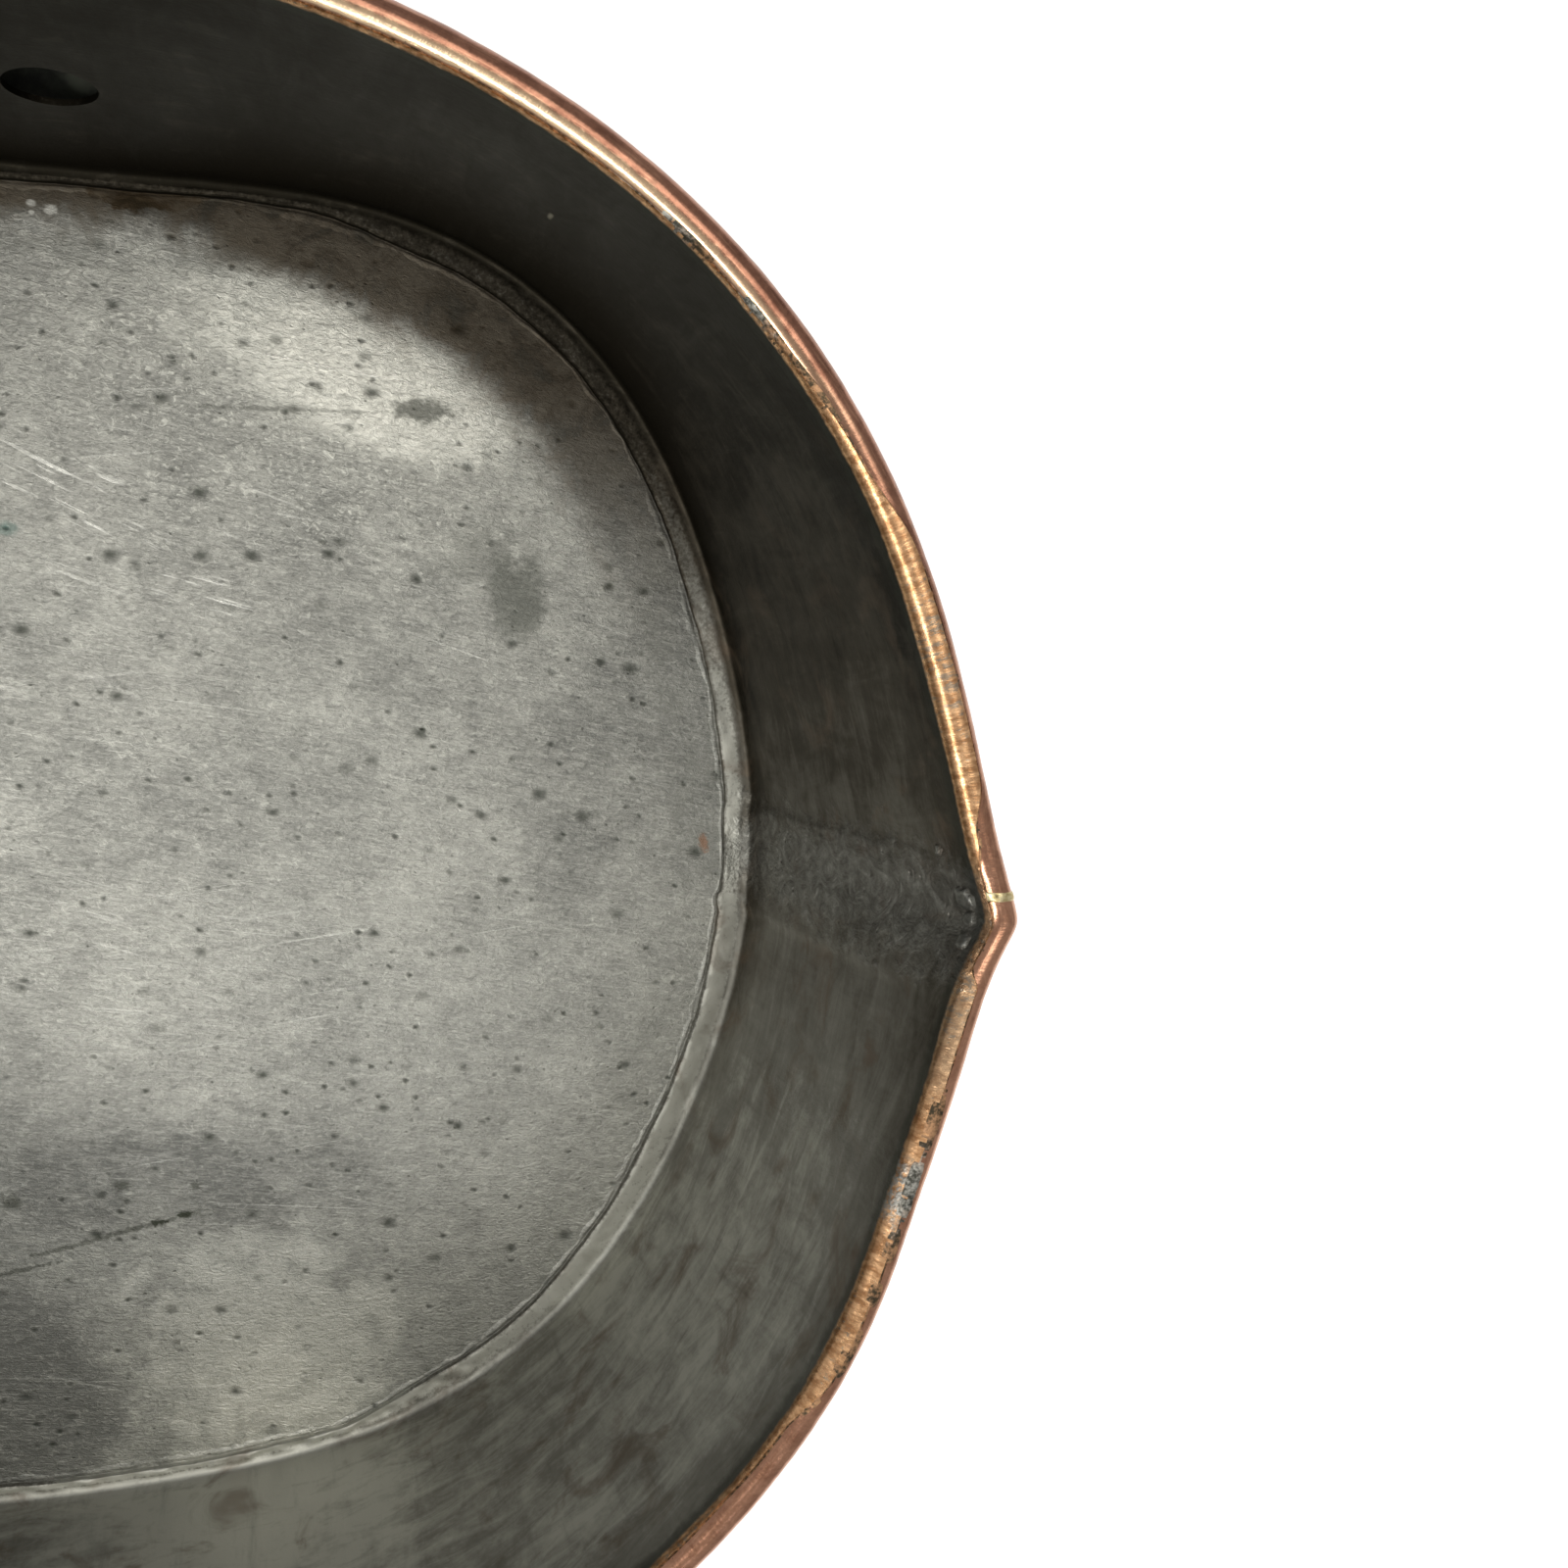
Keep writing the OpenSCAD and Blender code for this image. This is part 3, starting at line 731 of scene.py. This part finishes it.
def seam_fill(turn, share):
    """Thickness of the tin at a place on the overlap. Below nothing, it lies hidden in the wall."""
    a = math.radians(turn)
    x, y, z = 118 * math.cos(a), 118 * math.sin(a), share * WALL_H
    swirl = 3 * waver(x, y, z, 6, 11)
    thick = 0.10 + 0.16 * waver(x + swirl, y - swirl, z + swirl, 2.6, 12) + 0.07 * waver(x, y, z, 1.0, 13)
    wander = 1.6 * waver(x, y, z, 5, 14) + 0.8 * waver(x, y, z, 1.6, 15)
    side = ease(turn + wander, -7.0, -2.0) * (1 - ease(turn + wander, 0.2, 5.8))
    top = ease(share + 0.03 * wander, 0.03, 0.16) * (1 - ease(share + 0.02 * wander, 0.86, 0.97))
    thick = thick * side * top - 0.03 * (1 - side * top)
    for bead_turn, bead_share, size, tall in BEADS:
        rough = 1 + 0.5 * waver(x, y, z, 1.3, 16)
        near = math.hypot((turn - bead_turn) * 2.15, (share - bead_share) * WALL_H) * rough
        thick += tall * (1 + 0.3 * waver(x, y, z, 0.8, 17)) * math.sqrt(max(1 - (near / size) ** 4, 0))
    return thick


def draw_plate(name, across, up, place_at):
    """A thin curved plate: a grid drawn flat and pulled up once, then laid with its two faces on place_at."""
    bpy.ops.object.select_all(action="DESELECT")
    bpy.ops.mesh.primitive_grid_add(x_subdivisions=across, y_subdivisions=up, size=1, location=(0, 0, 0))
    piece = bpy.context.object
    piece.name = piece.data.name = name
    bpy.ops.object.mode_set(mode="EDIT")
    bpy.ops.mesh.select_all(action="SELECT")
    bpy.ops.mesh.extrude_region_move(TRANSFORM_OT_translate={"value": (0, 0, 1)})
    bpy.ops.object.mode_set(mode="OBJECT")
    for corner in piece.data.vertices:
        turn, radius, height = place_at(corner.co.x + 0.5, corner.co.y + 0.5, corner.co.z > 0.5)
        corner.co = MM * Vector((*on_circle(radius, turn), height))
    return close_up(piece, 60)


def seam_place(across, up, on_front):
    turn = SEAM_TURNS[0] + across * (SEAM_TURNS[1] - SEAM_TURNS[0])
    share = SEAM_SHARES[0] + up * (SEAM_SHARES[1] - SEAM_SHARES[0])
    radius, height = wall_row(turn, share, 0)
    return turn, radius - seam_fill(turn, share) if on_front else radius + 0.3, height


seam = draw_plate("seam_tin", SEAM_ACROSS, SEAM_UP, seam_place)
strip_map = seam.data.uv_layers.new(name="strip")
for loop in seam.data.loops:
    corner = seam.data.vertices[loop.vertex_index].co
    turn = math.degrees(math.atan2(corner.y, corner.x)) + 360
    strip_map.data[loop.index].uv = (turn * round_mm, across_bend + corner.z / MM - STRIP_Z)

finish, shader, place = start_finish("wiped_solder")
tone = cloud(place, 9, 5, 0.6, 1.0)
fine = cloud(place, 1.2, 5, 0.7, 0.5)
swirls = cloud(place, 4, 3, 0.6, 3.0)
mottle = 0.45 * tone + 0.3 * fine + 0.25 * swirls
colour = tint(step(mottle, 0.36, 0.64), (0.10, 0.10, 0.088), (0.27, 0.27, 0.25))
pits = speckle(place, 2.2, 0.25, 0.4)
colour = tint(pits * 0.8, colour, (0.04, 0.04, 0.035))
gloss = 0.42 - 0.12 * step(mottle, 0.5, 0.7) + 0.1 * pits
normal = bump(0.6 * swirls + 0.4 * fine - 0.6 * pits, 0.12, 0.9)
set_shader(shader, colour, 0.9, gloss, normal)
wiped_solder = finish
seam.data.materials.append(tarnished_tin)
seam.data.materials.append(wiped_solder)
for face in seam.data.polygons:
    turn = math.degrees(math.atan2(face.center.y, face.center.x))
    share = (face.center.z / MM - STRIP_Z) / WALL_H
    stands = wall_row(turn, share, 0)[0] - math.hypot(face.center.x, face.center.y) / MM
    face.material_index = 1 if stands > 0.36 and share > 0.9 else 0
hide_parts("seam_solder")
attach(seam, "root")


# ---- Foot tin ----
# Solder run in along the cut edge of the turned-in strip, which seals it down to the floor.
# It is wiped smooth in places and lumpy in others, with a fine groove beside the strip.
FOOT_COLUMNS = 1080


def foot_section(turn):
    """The tin beside the strip's edge, from the floor up to a ridge and down over the edge."""
    edge = strip_edge(turn)
    x, y = on_circle(110, turn)
    wide = max(1.7 + 1.3 * waver(x, y, 0, 14, 21) + 0.6 * waver(x, y, 0, 3, 22), 0.5)
    tall = 0.42 + 0.25 * waver(x, y, 0, 5, 23)
    points = [(edge + 0.2, FLOOR_T - 0.3), (edge - wide, FLOOR_T - 0.3)]
    for i in range(8):
        share = i / 7
        radius = edge - wide * (1 - share) + 0.2 * share
        lump = 0.16 * waver(*on_circle(radius, turn), 0, 1.4, 24) * math.sin(math.pi * share)
        ridge = tall * (1.2 * share**1.3 - 1.1 * ease(share, 0.6, 1))
        points.append((radius, FLOOR_T - 0.14 + ridge + lump))
    return points + points[:1]


foot_tin = draw_rings("foot_tin", FOOT_COLUMNS, len(foot_section(0)))
close_up(shape_rings(foot_tin, round_turns(FOOT_COLUMNS), foot_section), 60)
to_floor = foot_tin.data.uv_layers["strip"].data
for loop in foot_tin.data.loops:
    corner = foot_tin.data.vertices[loop.vertex_index].co
    turn = math.degrees(math.atan2(corner.y, corner.x))
    reach = math.hypot(corner.x, corner.y) / MM / (foot_in(turn) + SHEET - DISC_EDGE)
    to_floor[loop.index].uv[1] = reach * DISC_EDGE_R
foot_tin.data.materials.append(worn_tin)
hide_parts("foot_solder")
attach(foot_tin, "root")


# ---- Rim wire ----
# Iron wire bent to the outline of the rim, which stiffens the thin wall.
# The sheet copper is hammered round it, and hides it all the way round.
finish, shader, place = start_finish("iron_wire")
tone = cloud(place, 5, 5, 0.65)
rust = step(cloud(place, 2, 5, 0.7, 0.5), 0.5, 0.62)
colour = tint(rust, (0.12, 0.115, 0.11), (0.10, 0.045, 0.022))
gloss = 0.5 + 0.3 * rust
set_shader(shader, colour, 1 - 0.7 * rust, gloss, bump(tone, 0.05, 0.8))
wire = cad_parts["rim_wire"]
wire.data.materials.clear()
wire.data.materials.append(finish)


# ---- Rim band ----
# A strip of copper rolled over the outside of the wire, from under the rim up to the wall's own lip.
# A painted highlight runs along its crown on the handle's side. It is brown on its outer face and dented here
# and there.
BAND_END = -135
JOINT_TURN = 0.9
JOINT_W = 1.4
JOINT_HALF = math.degrees(JOINT_W / 2 / (RIM_R + LIP_OUT))
BAND_COLUMNS = 1500


def band_section(turn):
    """The band from its lower edge over the wire to the wall's lip, and back along the wire."""
    x, y = on_circle(125, turn)
    tip = groove_at(turn) - 3 + 2 * waver(x, y, 0, 1.8, 31) + 2 * waver(x, y, 0, 7, 32)
    dents = 0.07 * waver(x, y, 0, 6, 33) - 0.13 + 0.03 * waver(x, y, 0, 1.5, 34)
    outer = arc(wire_c(turn), RIM_Z, ROLL_R + dents, BAND_END, tip, 24)
    inner = arc(wire_c(turn), RIM_Z, WIRE_R, tip, BAND_END, 8)
    return outer + inner + outer[:1]


band_length = 360 - 2 * JOINT_HALF
band_turns = [JOINT_TURN + JOINT_HALF + band_length * i / (BAND_COLUMNS - 1) for i in range(BAND_COLUMNS)]
band = draw_rings("rim_copper", BAND_COLUMNS, len(band_section(0)))
shape_rings(band, band_turns, band_section)
close_up(band)

finish, shader, place = start_finish("worn_copper_with_painted_highlight")
strip = place.node("UVMap", {"uv_map": "strip"})
height = along_axis(place, 2)
tone = cloud(strip, 22, 5, 0.6)
patch = cloud(strip, 3.5, 5, 0.65, 0.5)
fine = cloud(strip, 0.6, 4, 0.7)
wear = 0.45 * tone + 0.35 * patch + 0.2 * fine
by_handle = step(along_axis(place, 1), -10, 70)
dull = tint(by_handle, (0.25, 0.115, 0.07), (0.15, 0.065, 0.042))
bright = tint(by_handle, (0.53, 0.285, 0.185), (0.36, 0.18, 0.12))
colour = tint(step(wear, 0.34, 0.64), dull, bright)
over_roll = along_axis(strip, 1)
# Painted highlight: a pale gold line along the inner side of the roll's crown, on the handle's side.
painted_crown_highlight = step(over_roll + 0.8 * (patch - 0.5), 9.8, 10.5) * (1 - step(over_roll, 11.5, 11.9))
painted_crown_highlight = painted_crown_highlight * step(along_axis(place, 1), 55, 112)
colour = tint((1 - step(height, 74.6, 77.1)) * 0.6, colour, (0.20, 0.09, 0.055))
drag = cloud(turned(strip, (0.12, 2.2, 1)), 1, 4, 0.65)
colour = tint(step(drag, 0.5, 0.75) * 0.25, colour, (0.9, 0.55, 0.36))
spots = speckle(strip, 5, 0.4, 0.35) * 0.8
colour = tint(spots, colour, (0.13, 0.075, 0.05))
colour = tint(painted_crown_highlight * 0.8, colour, (0.88, 0.66, 0.42))
gloss = 0.23 - 0.07 * step(wear, 0.36, 0.6) + 0.08 * fine + 0.1 * spots
filed = cloud(turned(strip, (2.6, 0.35, 1)), 1, 3, 0.6)
normal = bump(0.4 * drag + 0.4 * fine + 0.8 * filed, 0.04, 0.8)
normal = bump(patch, 0.10, 0.5, normal)
set_shader(shader, colour, 1.0, gloss, normal)
worn_copper_with_painted_highlight = finish
band.data.materials.append(worn_copper_with_painted_highlight)
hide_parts("rim_band")
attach(band, "root")


# ---- Rim tin ----
# Solder in the groove between the wall's lip and the band. It is pitted and dark with old polish,
# and stands in grey crumbs where it was never wiped.
RIM_TOP = 77.72


def rim_tin_section(turn):
    """The tin across the groove, standing proud where it crumbled."""
    x, y = on_circle(123, turn)
    spot = signed(turn)
    crumbly = ease(-spot, 11, 13) * (1 - ease(-spot, 37, 40))
    crumbly += 0.8 * ease(spot, 33, 36) * (1 - ease(spot, 48, 54))
    crumbs = crumbly * ease(waver(x, y, 0, 5, 41), -0.45, 0.05)
    proud = -0.20 + 0.4 * crumbs * (0.35 + abs(waver(x, y, 0, 1.1, 42))) + 0.10 * waver(x, y, 0, 0.7, 43)
    low, high = groove_at(turn) - 10 - 10 * crumbs, groove_at(turn) + 8 + 16 * crumbs
    crown = arc(wire_c(turn), RIM_Z, ROLL_R + proud, low, high, 8)
    top = [(radius, min(height, RIM_TOP)) for radius, height in crown]
    bottom = arc(wire_c(turn), RIM_Z, WIRE_R + 0.05, high, low, 3)
    return top + bottom + top[:1]


rim_tin = draw_rings("rim_tin", BAND_COLUMNS, len(rim_tin_section(0)))
close_up(shape_rings(rim_tin, round_turns(BAND_COLUMNS), rim_tin_section), 60)
finish, shader, place = start_finish("pitted_solder")
tone = cloud(place, 3, 5, 0.65)
fine = cloud(place, 0.6, 4, 0.7)
grit = step(0.5 * tone + 0.5 * fine, 0.42, 0.60)
colour = tint(grit, (0.05, 0.04, 0.025), (0.42, 0.24, 0.13))
unwiped = stain_and_painted_light(place, 112, -39, 8, 9, 0, 0.5, 2) + stain_and_painted_light(place, 76, 95, 9, 7, 0, 0.5, 2)
unwiped = unwiped + stain_and_painted_light(place, 90, 84, 6, 5, 0, 0.9, 2)
colour = tint(unwiped, colour, tint(grit, (0.06, 0.06, 0.05), (0.44, 0.43, 0.39)))
set_shader(shader, colour, 0.9, 0.28 + 0.3 * fine, bump(fine, 0.15, 0.9))
rim_tin.data.materials.append(finish)
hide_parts("rim_solder")
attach(rim_tin, "root")


# ---- Rim joint ----
# The two ends of the band meet at the tip of the lip, where they are brazed together.
# The brass shows as a thin yellow line, a little wider on top of the roll.
def joint_place(across, up, on_front):
    turn = JOINT_TURN + (2 * across - 1) * JOINT_HALF * (0.6 + 0.45 * up)
    high = groove_at(turn) + 4
    b = math.radians(BAND_END + (high - BAND_END) * up)
    lumps = 0.10 + 0.06 * waver(*on_circle(125, turn), 8 * up, 0.8, 51)
    size = ROLL_R - 0.08 + lumps * math.sin(math.pi * across) ** 0.5 if on_front else ROLL_R - 0.5
    return turn, wire_c(turn) + size * math.cos(b), RIM_Z + size * math.sin(b)


joint = draw_plate("joint_brass", 10, 60, joint_place)
finish, shader, place = start_finish("brazing_brass")
tone = cloud(place, 1.5, 5, 0.65)
colour = tint(step(tone, 0.35, 0.65), (0.40, 0.31, 0.14), (0.86, 0.76, 0.48))
colour = tint(speckle(place, 1.2, 0.2, 0.4) * 0.7, colour, (0.10, 0.08, 0.04))
set_shader(shader, colour, 0.95, 0.26 + 0.2 * tone, bump(tone, 0.08, 0.8))
brazing_brass = finish
joint.data.materials.append(brazing_brass)
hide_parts("rim_joint")
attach(joint, "root")


# ---- Handle collar ----
# A flared collar beaten from sheet copper, which spreads the pull of the handle over the wall.
# It fits the outside of the wall and draws in round the tube.
SEAT_Y = 114.208
SEAT_SLOPE = 5.2
SEAT_BOW = 350
HANDLE_RISE = 10
TUBE_ROOT_R = 11
COLLAR_R = 20
COLLAR_H = 7
COLLAR_SINK = 0.45
HANDLE_LEAN = math.tan(math.radians(HANDLE_RISE + SEAT_SLOPE))


def fitted(radius, turn):
    """Height of the wall's bowed outside under a place on the collar."""
    return -COLLAR_SINK - (radius * math.cos(math.radians(turn))) ** 2 / (2 * SEAT_BOW)


def collar_section(turn):
    """The collar from the wall out to its edge and up a sweep to the tube, which it leans with."""
    a = math.radians(turn)
    top_r = TUBE_ROOT_R + 1.3
    sweep_r = COLLAR_H - 1.2
    points = [(TUBE_ROOT_R - 0.6, fitted(TUBE_ROOT_R, turn)), (COLLAR_R, fitted(COLLAR_R, turn))]
    points += [(COLLAR_R + 0.03, 0.3), (COLLAR_R - 0.1, 0.7), (COLLAR_R - 0.45, 0.95)]
    for i in range(19):
        b = math.radians(90 * i / 18)
        radius = top_r + (COLLAR_R - 1 - top_r) * (1 - math.sin(b))
        height = 1.2 + sweep_r * (1 - math.cos(b))
        beaten = 0.14 * waver(*on_circle(radius, turn), height, 4, 61)
        leaning = height * HANDLE_LEAN * math.sin(a) * math.sin(b) ** 2
        points.append((radius - leaning, height + beaten * math.cos(b)))
    top = points[-1]
    points += [(top[0] - 0.4, COLLAR_H + 0.12), (top[0] - 1.2, COLLAR_H + 0.02)]
    points.append((TUBE_ROOT_R - 0.6, COLLAR_H - 2))
    return points + points[:1]


COLLAR_COLUMNS = 240
collar = draw_rings("collar", COLLAR_COLUMNS, len(collar_section(0)))
shape_rings(collar, round_turns(COLLAR_COLUMNS), collar_section)
seat = Matrix.Translation(MM * Vector((0, SEAT_Y, HOLE_Z)))
on_wall = seat @ Matrix.Rotation(math.radians(-90 - SEAT_SLOPE), 4, "X")
collar.data.transform(on_wall)
close_up(collar)
collar.data.materials.append(bare_copper)
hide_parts("handle_collar")
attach(collar, "root")


# ---- Collar brass ----
# Brass run in round the collar's edge, which holds the collar to the wall.
# It stands in a narrow uneven fillet.
def brass_section(turn):
    """The fillet from under the collar's edge out along the wall, and back over the edge."""
    x, y = on_circle(20, turn)
    wide = 1.7 + 0.6 * waver(x, y, 0, 5, 71) + 0.25 * waver(x, y, 0, 1.5, 72)
    points = [(COLLAR_R - 0.6, fitted(COLLAR_R, turn)), (COLLAR_R + wide, fitted(COLLAR_R + wide, turn))]
    for i in range(9):
        share = i / 8
        radius = COLLAR_R + wide * (1 - share) - 0.35 * share
        lump = 0.1 * waver(*on_circle(radius, turn), 4, 1.3, 73) * math.sin(math.pi * share)
        points.append((radius, fitted(radius, turn) + 0.55 + 0.75 * share**1.5 + lump))
    return points + points[:1]


collar_brass = draw_rings("collar_brass", COLLAR_COLUMNS, len(brass_section(0)))
shape_rings(collar_brass, round_turns(COLLAR_COLUMNS), brass_section)
collar_brass.data.transform(on_wall)
close_up(collar_brass, 60)
collar_brass.data.materials.append(brazing_brass)
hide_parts("collar_braze")
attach(collar_brass, "root")


# ---- Handle tube ----
# Sheet copper rolled into a tapering tube and brazed along its underside. It is hollow, and open to the pan
# through the round hole. Its inside is near black, partly old tarnish and partly painted shade of the closed
# tube.
TUBE_LEN = 160
TUBE_END_R = 14
TUBE_T = 1.2
TUBE_STRAIGHT = 14
TUBE_COLUMNS = 200
TUBE_ROWS = 110


def tube_r(along):
    """Outer radius of the tube, which widens towards its far end."""
    return TUBE_ROOT_R + (TUBE_END_R - TUBE_ROOT_R) * (max(along - TUBE_STRAIGHT, 0) / TUBE_LEN) ** 1.5


def tube_section(turn):
    """The tube from the wall along the outside to its far end, and back along the inside."""
    a = math.radians(turn)
    root = -HANDLE_LEAN * TUBE_ROOT_R * math.sin(a) - (TUBE_ROOT_R * math.cos(a)) ** 2 / (2 * SEAT_BOW) - 0.3
    outer = []
    for i in range(TUBE_ROWS):
        along = root + (TUBE_LEN - 0.4 - root) * i / (TUBE_ROWS - 1)
        beaten = 0.13 * waver(*on_circle(12, turn), along, 7, 81)
        beaten += 0.05 * waver(*on_circle(12, turn), along, 2.5, 82)
        seam = 0.12 * bell(signed(turn - 90), 5) * ease(along, 10, 14)
        outer.append((tube_r(along) - 0.1 + beaten + seam, along))
    end = [(tube_r(TUBE_LEN) - 0.25, TUBE_LEN), (tube_r(TUBE_LEN) - TUBE_T, TUBE_LEN)]
    inner = []
    for i in range(20):
        along = TUBE_LEN - 1 + (root - TUBE_LEN + 1) * i / 19
        inner.append((tube_r(along) - TUBE_T, along))
    return outer + end + inner + outer[:1]


tube = draw_rings("tube", TUBE_COLUMNS, len(tube_section(0)))
shape_rings(tube, round_turns(TUBE_COLUMNS), tube_section)
along_handle = seat @ Matrix.Rotation(math.radians(HANDLE_RISE - 90), 4, "X")
tube.data.transform(along_handle)
close_up(tube)

finish, shader, place = start_finish("rubbed_copper")
strip = place.node("UVMap", {"uv_map": "strip"})
to_seam = along_axis(strip, 0)
tone = cloud(place, 30, 6, 0.62, 0.5)
patch = cloud(place, 5, 5, 0.65, 0.8)
fine = cloud(place, 0.8, 4, 0.7)
wear = 0.5 * tone + 0.33 * patch + 0.17 * fine
colour = tint(step(wear, 0.34, 0.62), (0.30, 0.13, 0.07), (0.70, 0.36, 0.22))
colour = tint(step(cloud(place, 11, 5, 0.7, 1.2), 0.58, 0.75) * 0.55, colour, (0.15, 0.08, 0.05))
lines = hairlines(place, 62, 40, 1.6, 0.008) + hairlines(place, 80, 50, 2.6, 0.006, 4)
colour = tint(lines * 0.4, colour, (0.9, 0.55, 0.38))
seam_r = math.radians(TUBE_ROOT_R)
brass_line = 1 - step(to_seam.math("ABSOLUTE", to_seam - 90 * seam_r + 0.9 * (patch - 0.5)), 0.5, 0.8)
colour = tint(brass_line * 0.9, colour, (0.62, 0.47, 0.20))
gloss = 0.36 - 0.13 * step(wear, 0.36, 0.62) + 0.1 * fine
hammer = place.node("TexVoronoi", {"feature": "SMOOTH_F1"}, {"Vector": place, "Scale": 1 / 7, "Smoothness": 0.7})
normal = bump(hammer, 0.14, 0.5)
normal = bump(0.5 * patch + 0.5 * fine - lines, 0.02, 0.7, normal)
set_shader(shader, colour, 1.0, gloss, normal)
rubbed_copper = finish
tube.data.materials.append(rubbed_copper)

# Painted shade, partly tarnish: the tube's inside is near black, for its old tarnish and for the shade inside
# the closed tube.
finish, shader, place = start_finish("black_tarnish_and_painted_shade")
tone = cloud(place, 5, 5, 0.65)
colour = tint(step(tone, 0.35, 0.65), (0.012, 0.012, 0.009), (0.045, 0.05, 0.036))
set_shader(shader, colour, 0.4, 0.6 + 0.2 * tone, bump(tone, 0.1, 0.8))
tube.data.materials.append(finish)
axis_from = along_handle @ Vector((0, 0, 0))
axis = (along_handle @ Vector((0, 0, 1)) - axis_from).normalized()
for face in tube.data.polygons:
    out_from_axis = face.center - axis_from
    out_from_axis -= axis * out_from_axis.dot(axis)
    face.material_index = 1 if face.normal.dot(out_from_axis) < 0 and abs(face.normal.dot(axis)) < 0.5 else 0
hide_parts("handle_tube")
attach(tube, "root")


# ---- Hanging eye ----
# A cast copper plug that closes the tube, with a cap, a short neck and a flat ring.
# The pan hangs by the ring.
EYE_AT = 180
EYE_R = 11
EYE_HOLE_R = 5
EYE_T = 6
EYE_COLUMNS = 96
PLUG_FROM = 155
CAP_T = 1.7
NECK_ROOT_R = 12.1
NECK_R = 4.4
NECK_LEN = 8.6
NECK_TO = 173
CAST_GRAIN = 0.00035


def neck_section(turn):
    """The plug from inside the tube over the cap and up the neck."""
    cap = tube_r(TUBE_LEN)
    plug = cap - TUBE_T - 0.1
    points = [(0, PLUG_FROM), (plug, PLUG_FROM), (plug, TUBE_LEN), (cap - 0.2, TUBE_LEN)]
    points += [(cap, TUBE_LEN + 0.3), (cap, TUBE_LEN + 1.2), (cap - 0.3, TUBE_LEN + 1.6)]
    points.append((NECK_ROOT_R, TUBE_LEN + CAP_T))
    for i in range(1, 9):
        share = i / 8
        radius = NECK_ROOT_R + (NECK_R - NECK_ROOT_R) * math.sin(math.pi / 2 * share)
        points.append((radius, TUBE_LEN + CAP_T + NECK_LEN * share**1.15))
    return points + [(NECK_R - 0.2, NECK_TO), (0, NECK_TO)]


def ring_section(turn):
    """Outline of the flat ring, between a circle and a square with rounded corners."""
    middle, half_w, half_t = (EYE_R + EYE_HOLE_R) / 2, (EYE_R - EYE_HOLE_R) / 2, EYE_T / 2
    points = []
    for i in range(25):
        b = math.radians(360 * i / 24)
        across, up = math.cos(b), math.sin(b)
        points.append((middle + half_w * math.copysign(abs(across) ** 0.55, across),
                       half_t * math.copysign(abs(up) ** 0.55, up)))
    return points


neck = draw_rings("hanging_ring", EYE_COLUMNS, len(neck_section(0)))
close_up(shape_rings(neck, round_turns(EYE_COLUMNS), neck_section))
ring = draw_rings("ring", EYE_COLUMNS, 25)
shape_rings(ring, round_turns(EYE_COLUMNS), ring_section)
ring.data.transform(Matrix.Translation((0, 0, EYE_AT * MM)) @ Matrix.Rotation(math.pi / 2, 4, "X"))
close_up(ring)
neck.select_set(True)
bpy.context.view_layer.objects.active = neck
bpy.ops.object.join()
hanging_ring = bpy.context.object
cast = hanging_ring.modifiers.new("cast", "REMESH")
cast.mode = "VOXEL"
cast.voxel_size = CAST_GRAIN
bpy.ops.object.modifier_apply(modifier="cast")
soften = hanging_ring.modifiers.new("soften", "SMOOTH")
soften.factor = 0.5
soften.iterations = 5
bpy.ops.object.modifier_apply(modifier="soften")
hanging_ring.data.transform(along_handle)
outwards = [corner.normal.copy() for corner in hanging_ring.data.vertices]
for corner, outward in zip(hanging_ring.data.vertices, outwards):
    x, y, z = corner.co / MM
    corner.co += outward * MM * 0.10 * waver(x, y, z, 3.5, 91)
close_up(hanging_ring, 60)
hanging_ring.data.materials.clear()
hanging_ring.data.materials.append(bare_copper)
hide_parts("handle_eye")
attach(hanging_ring, "root")
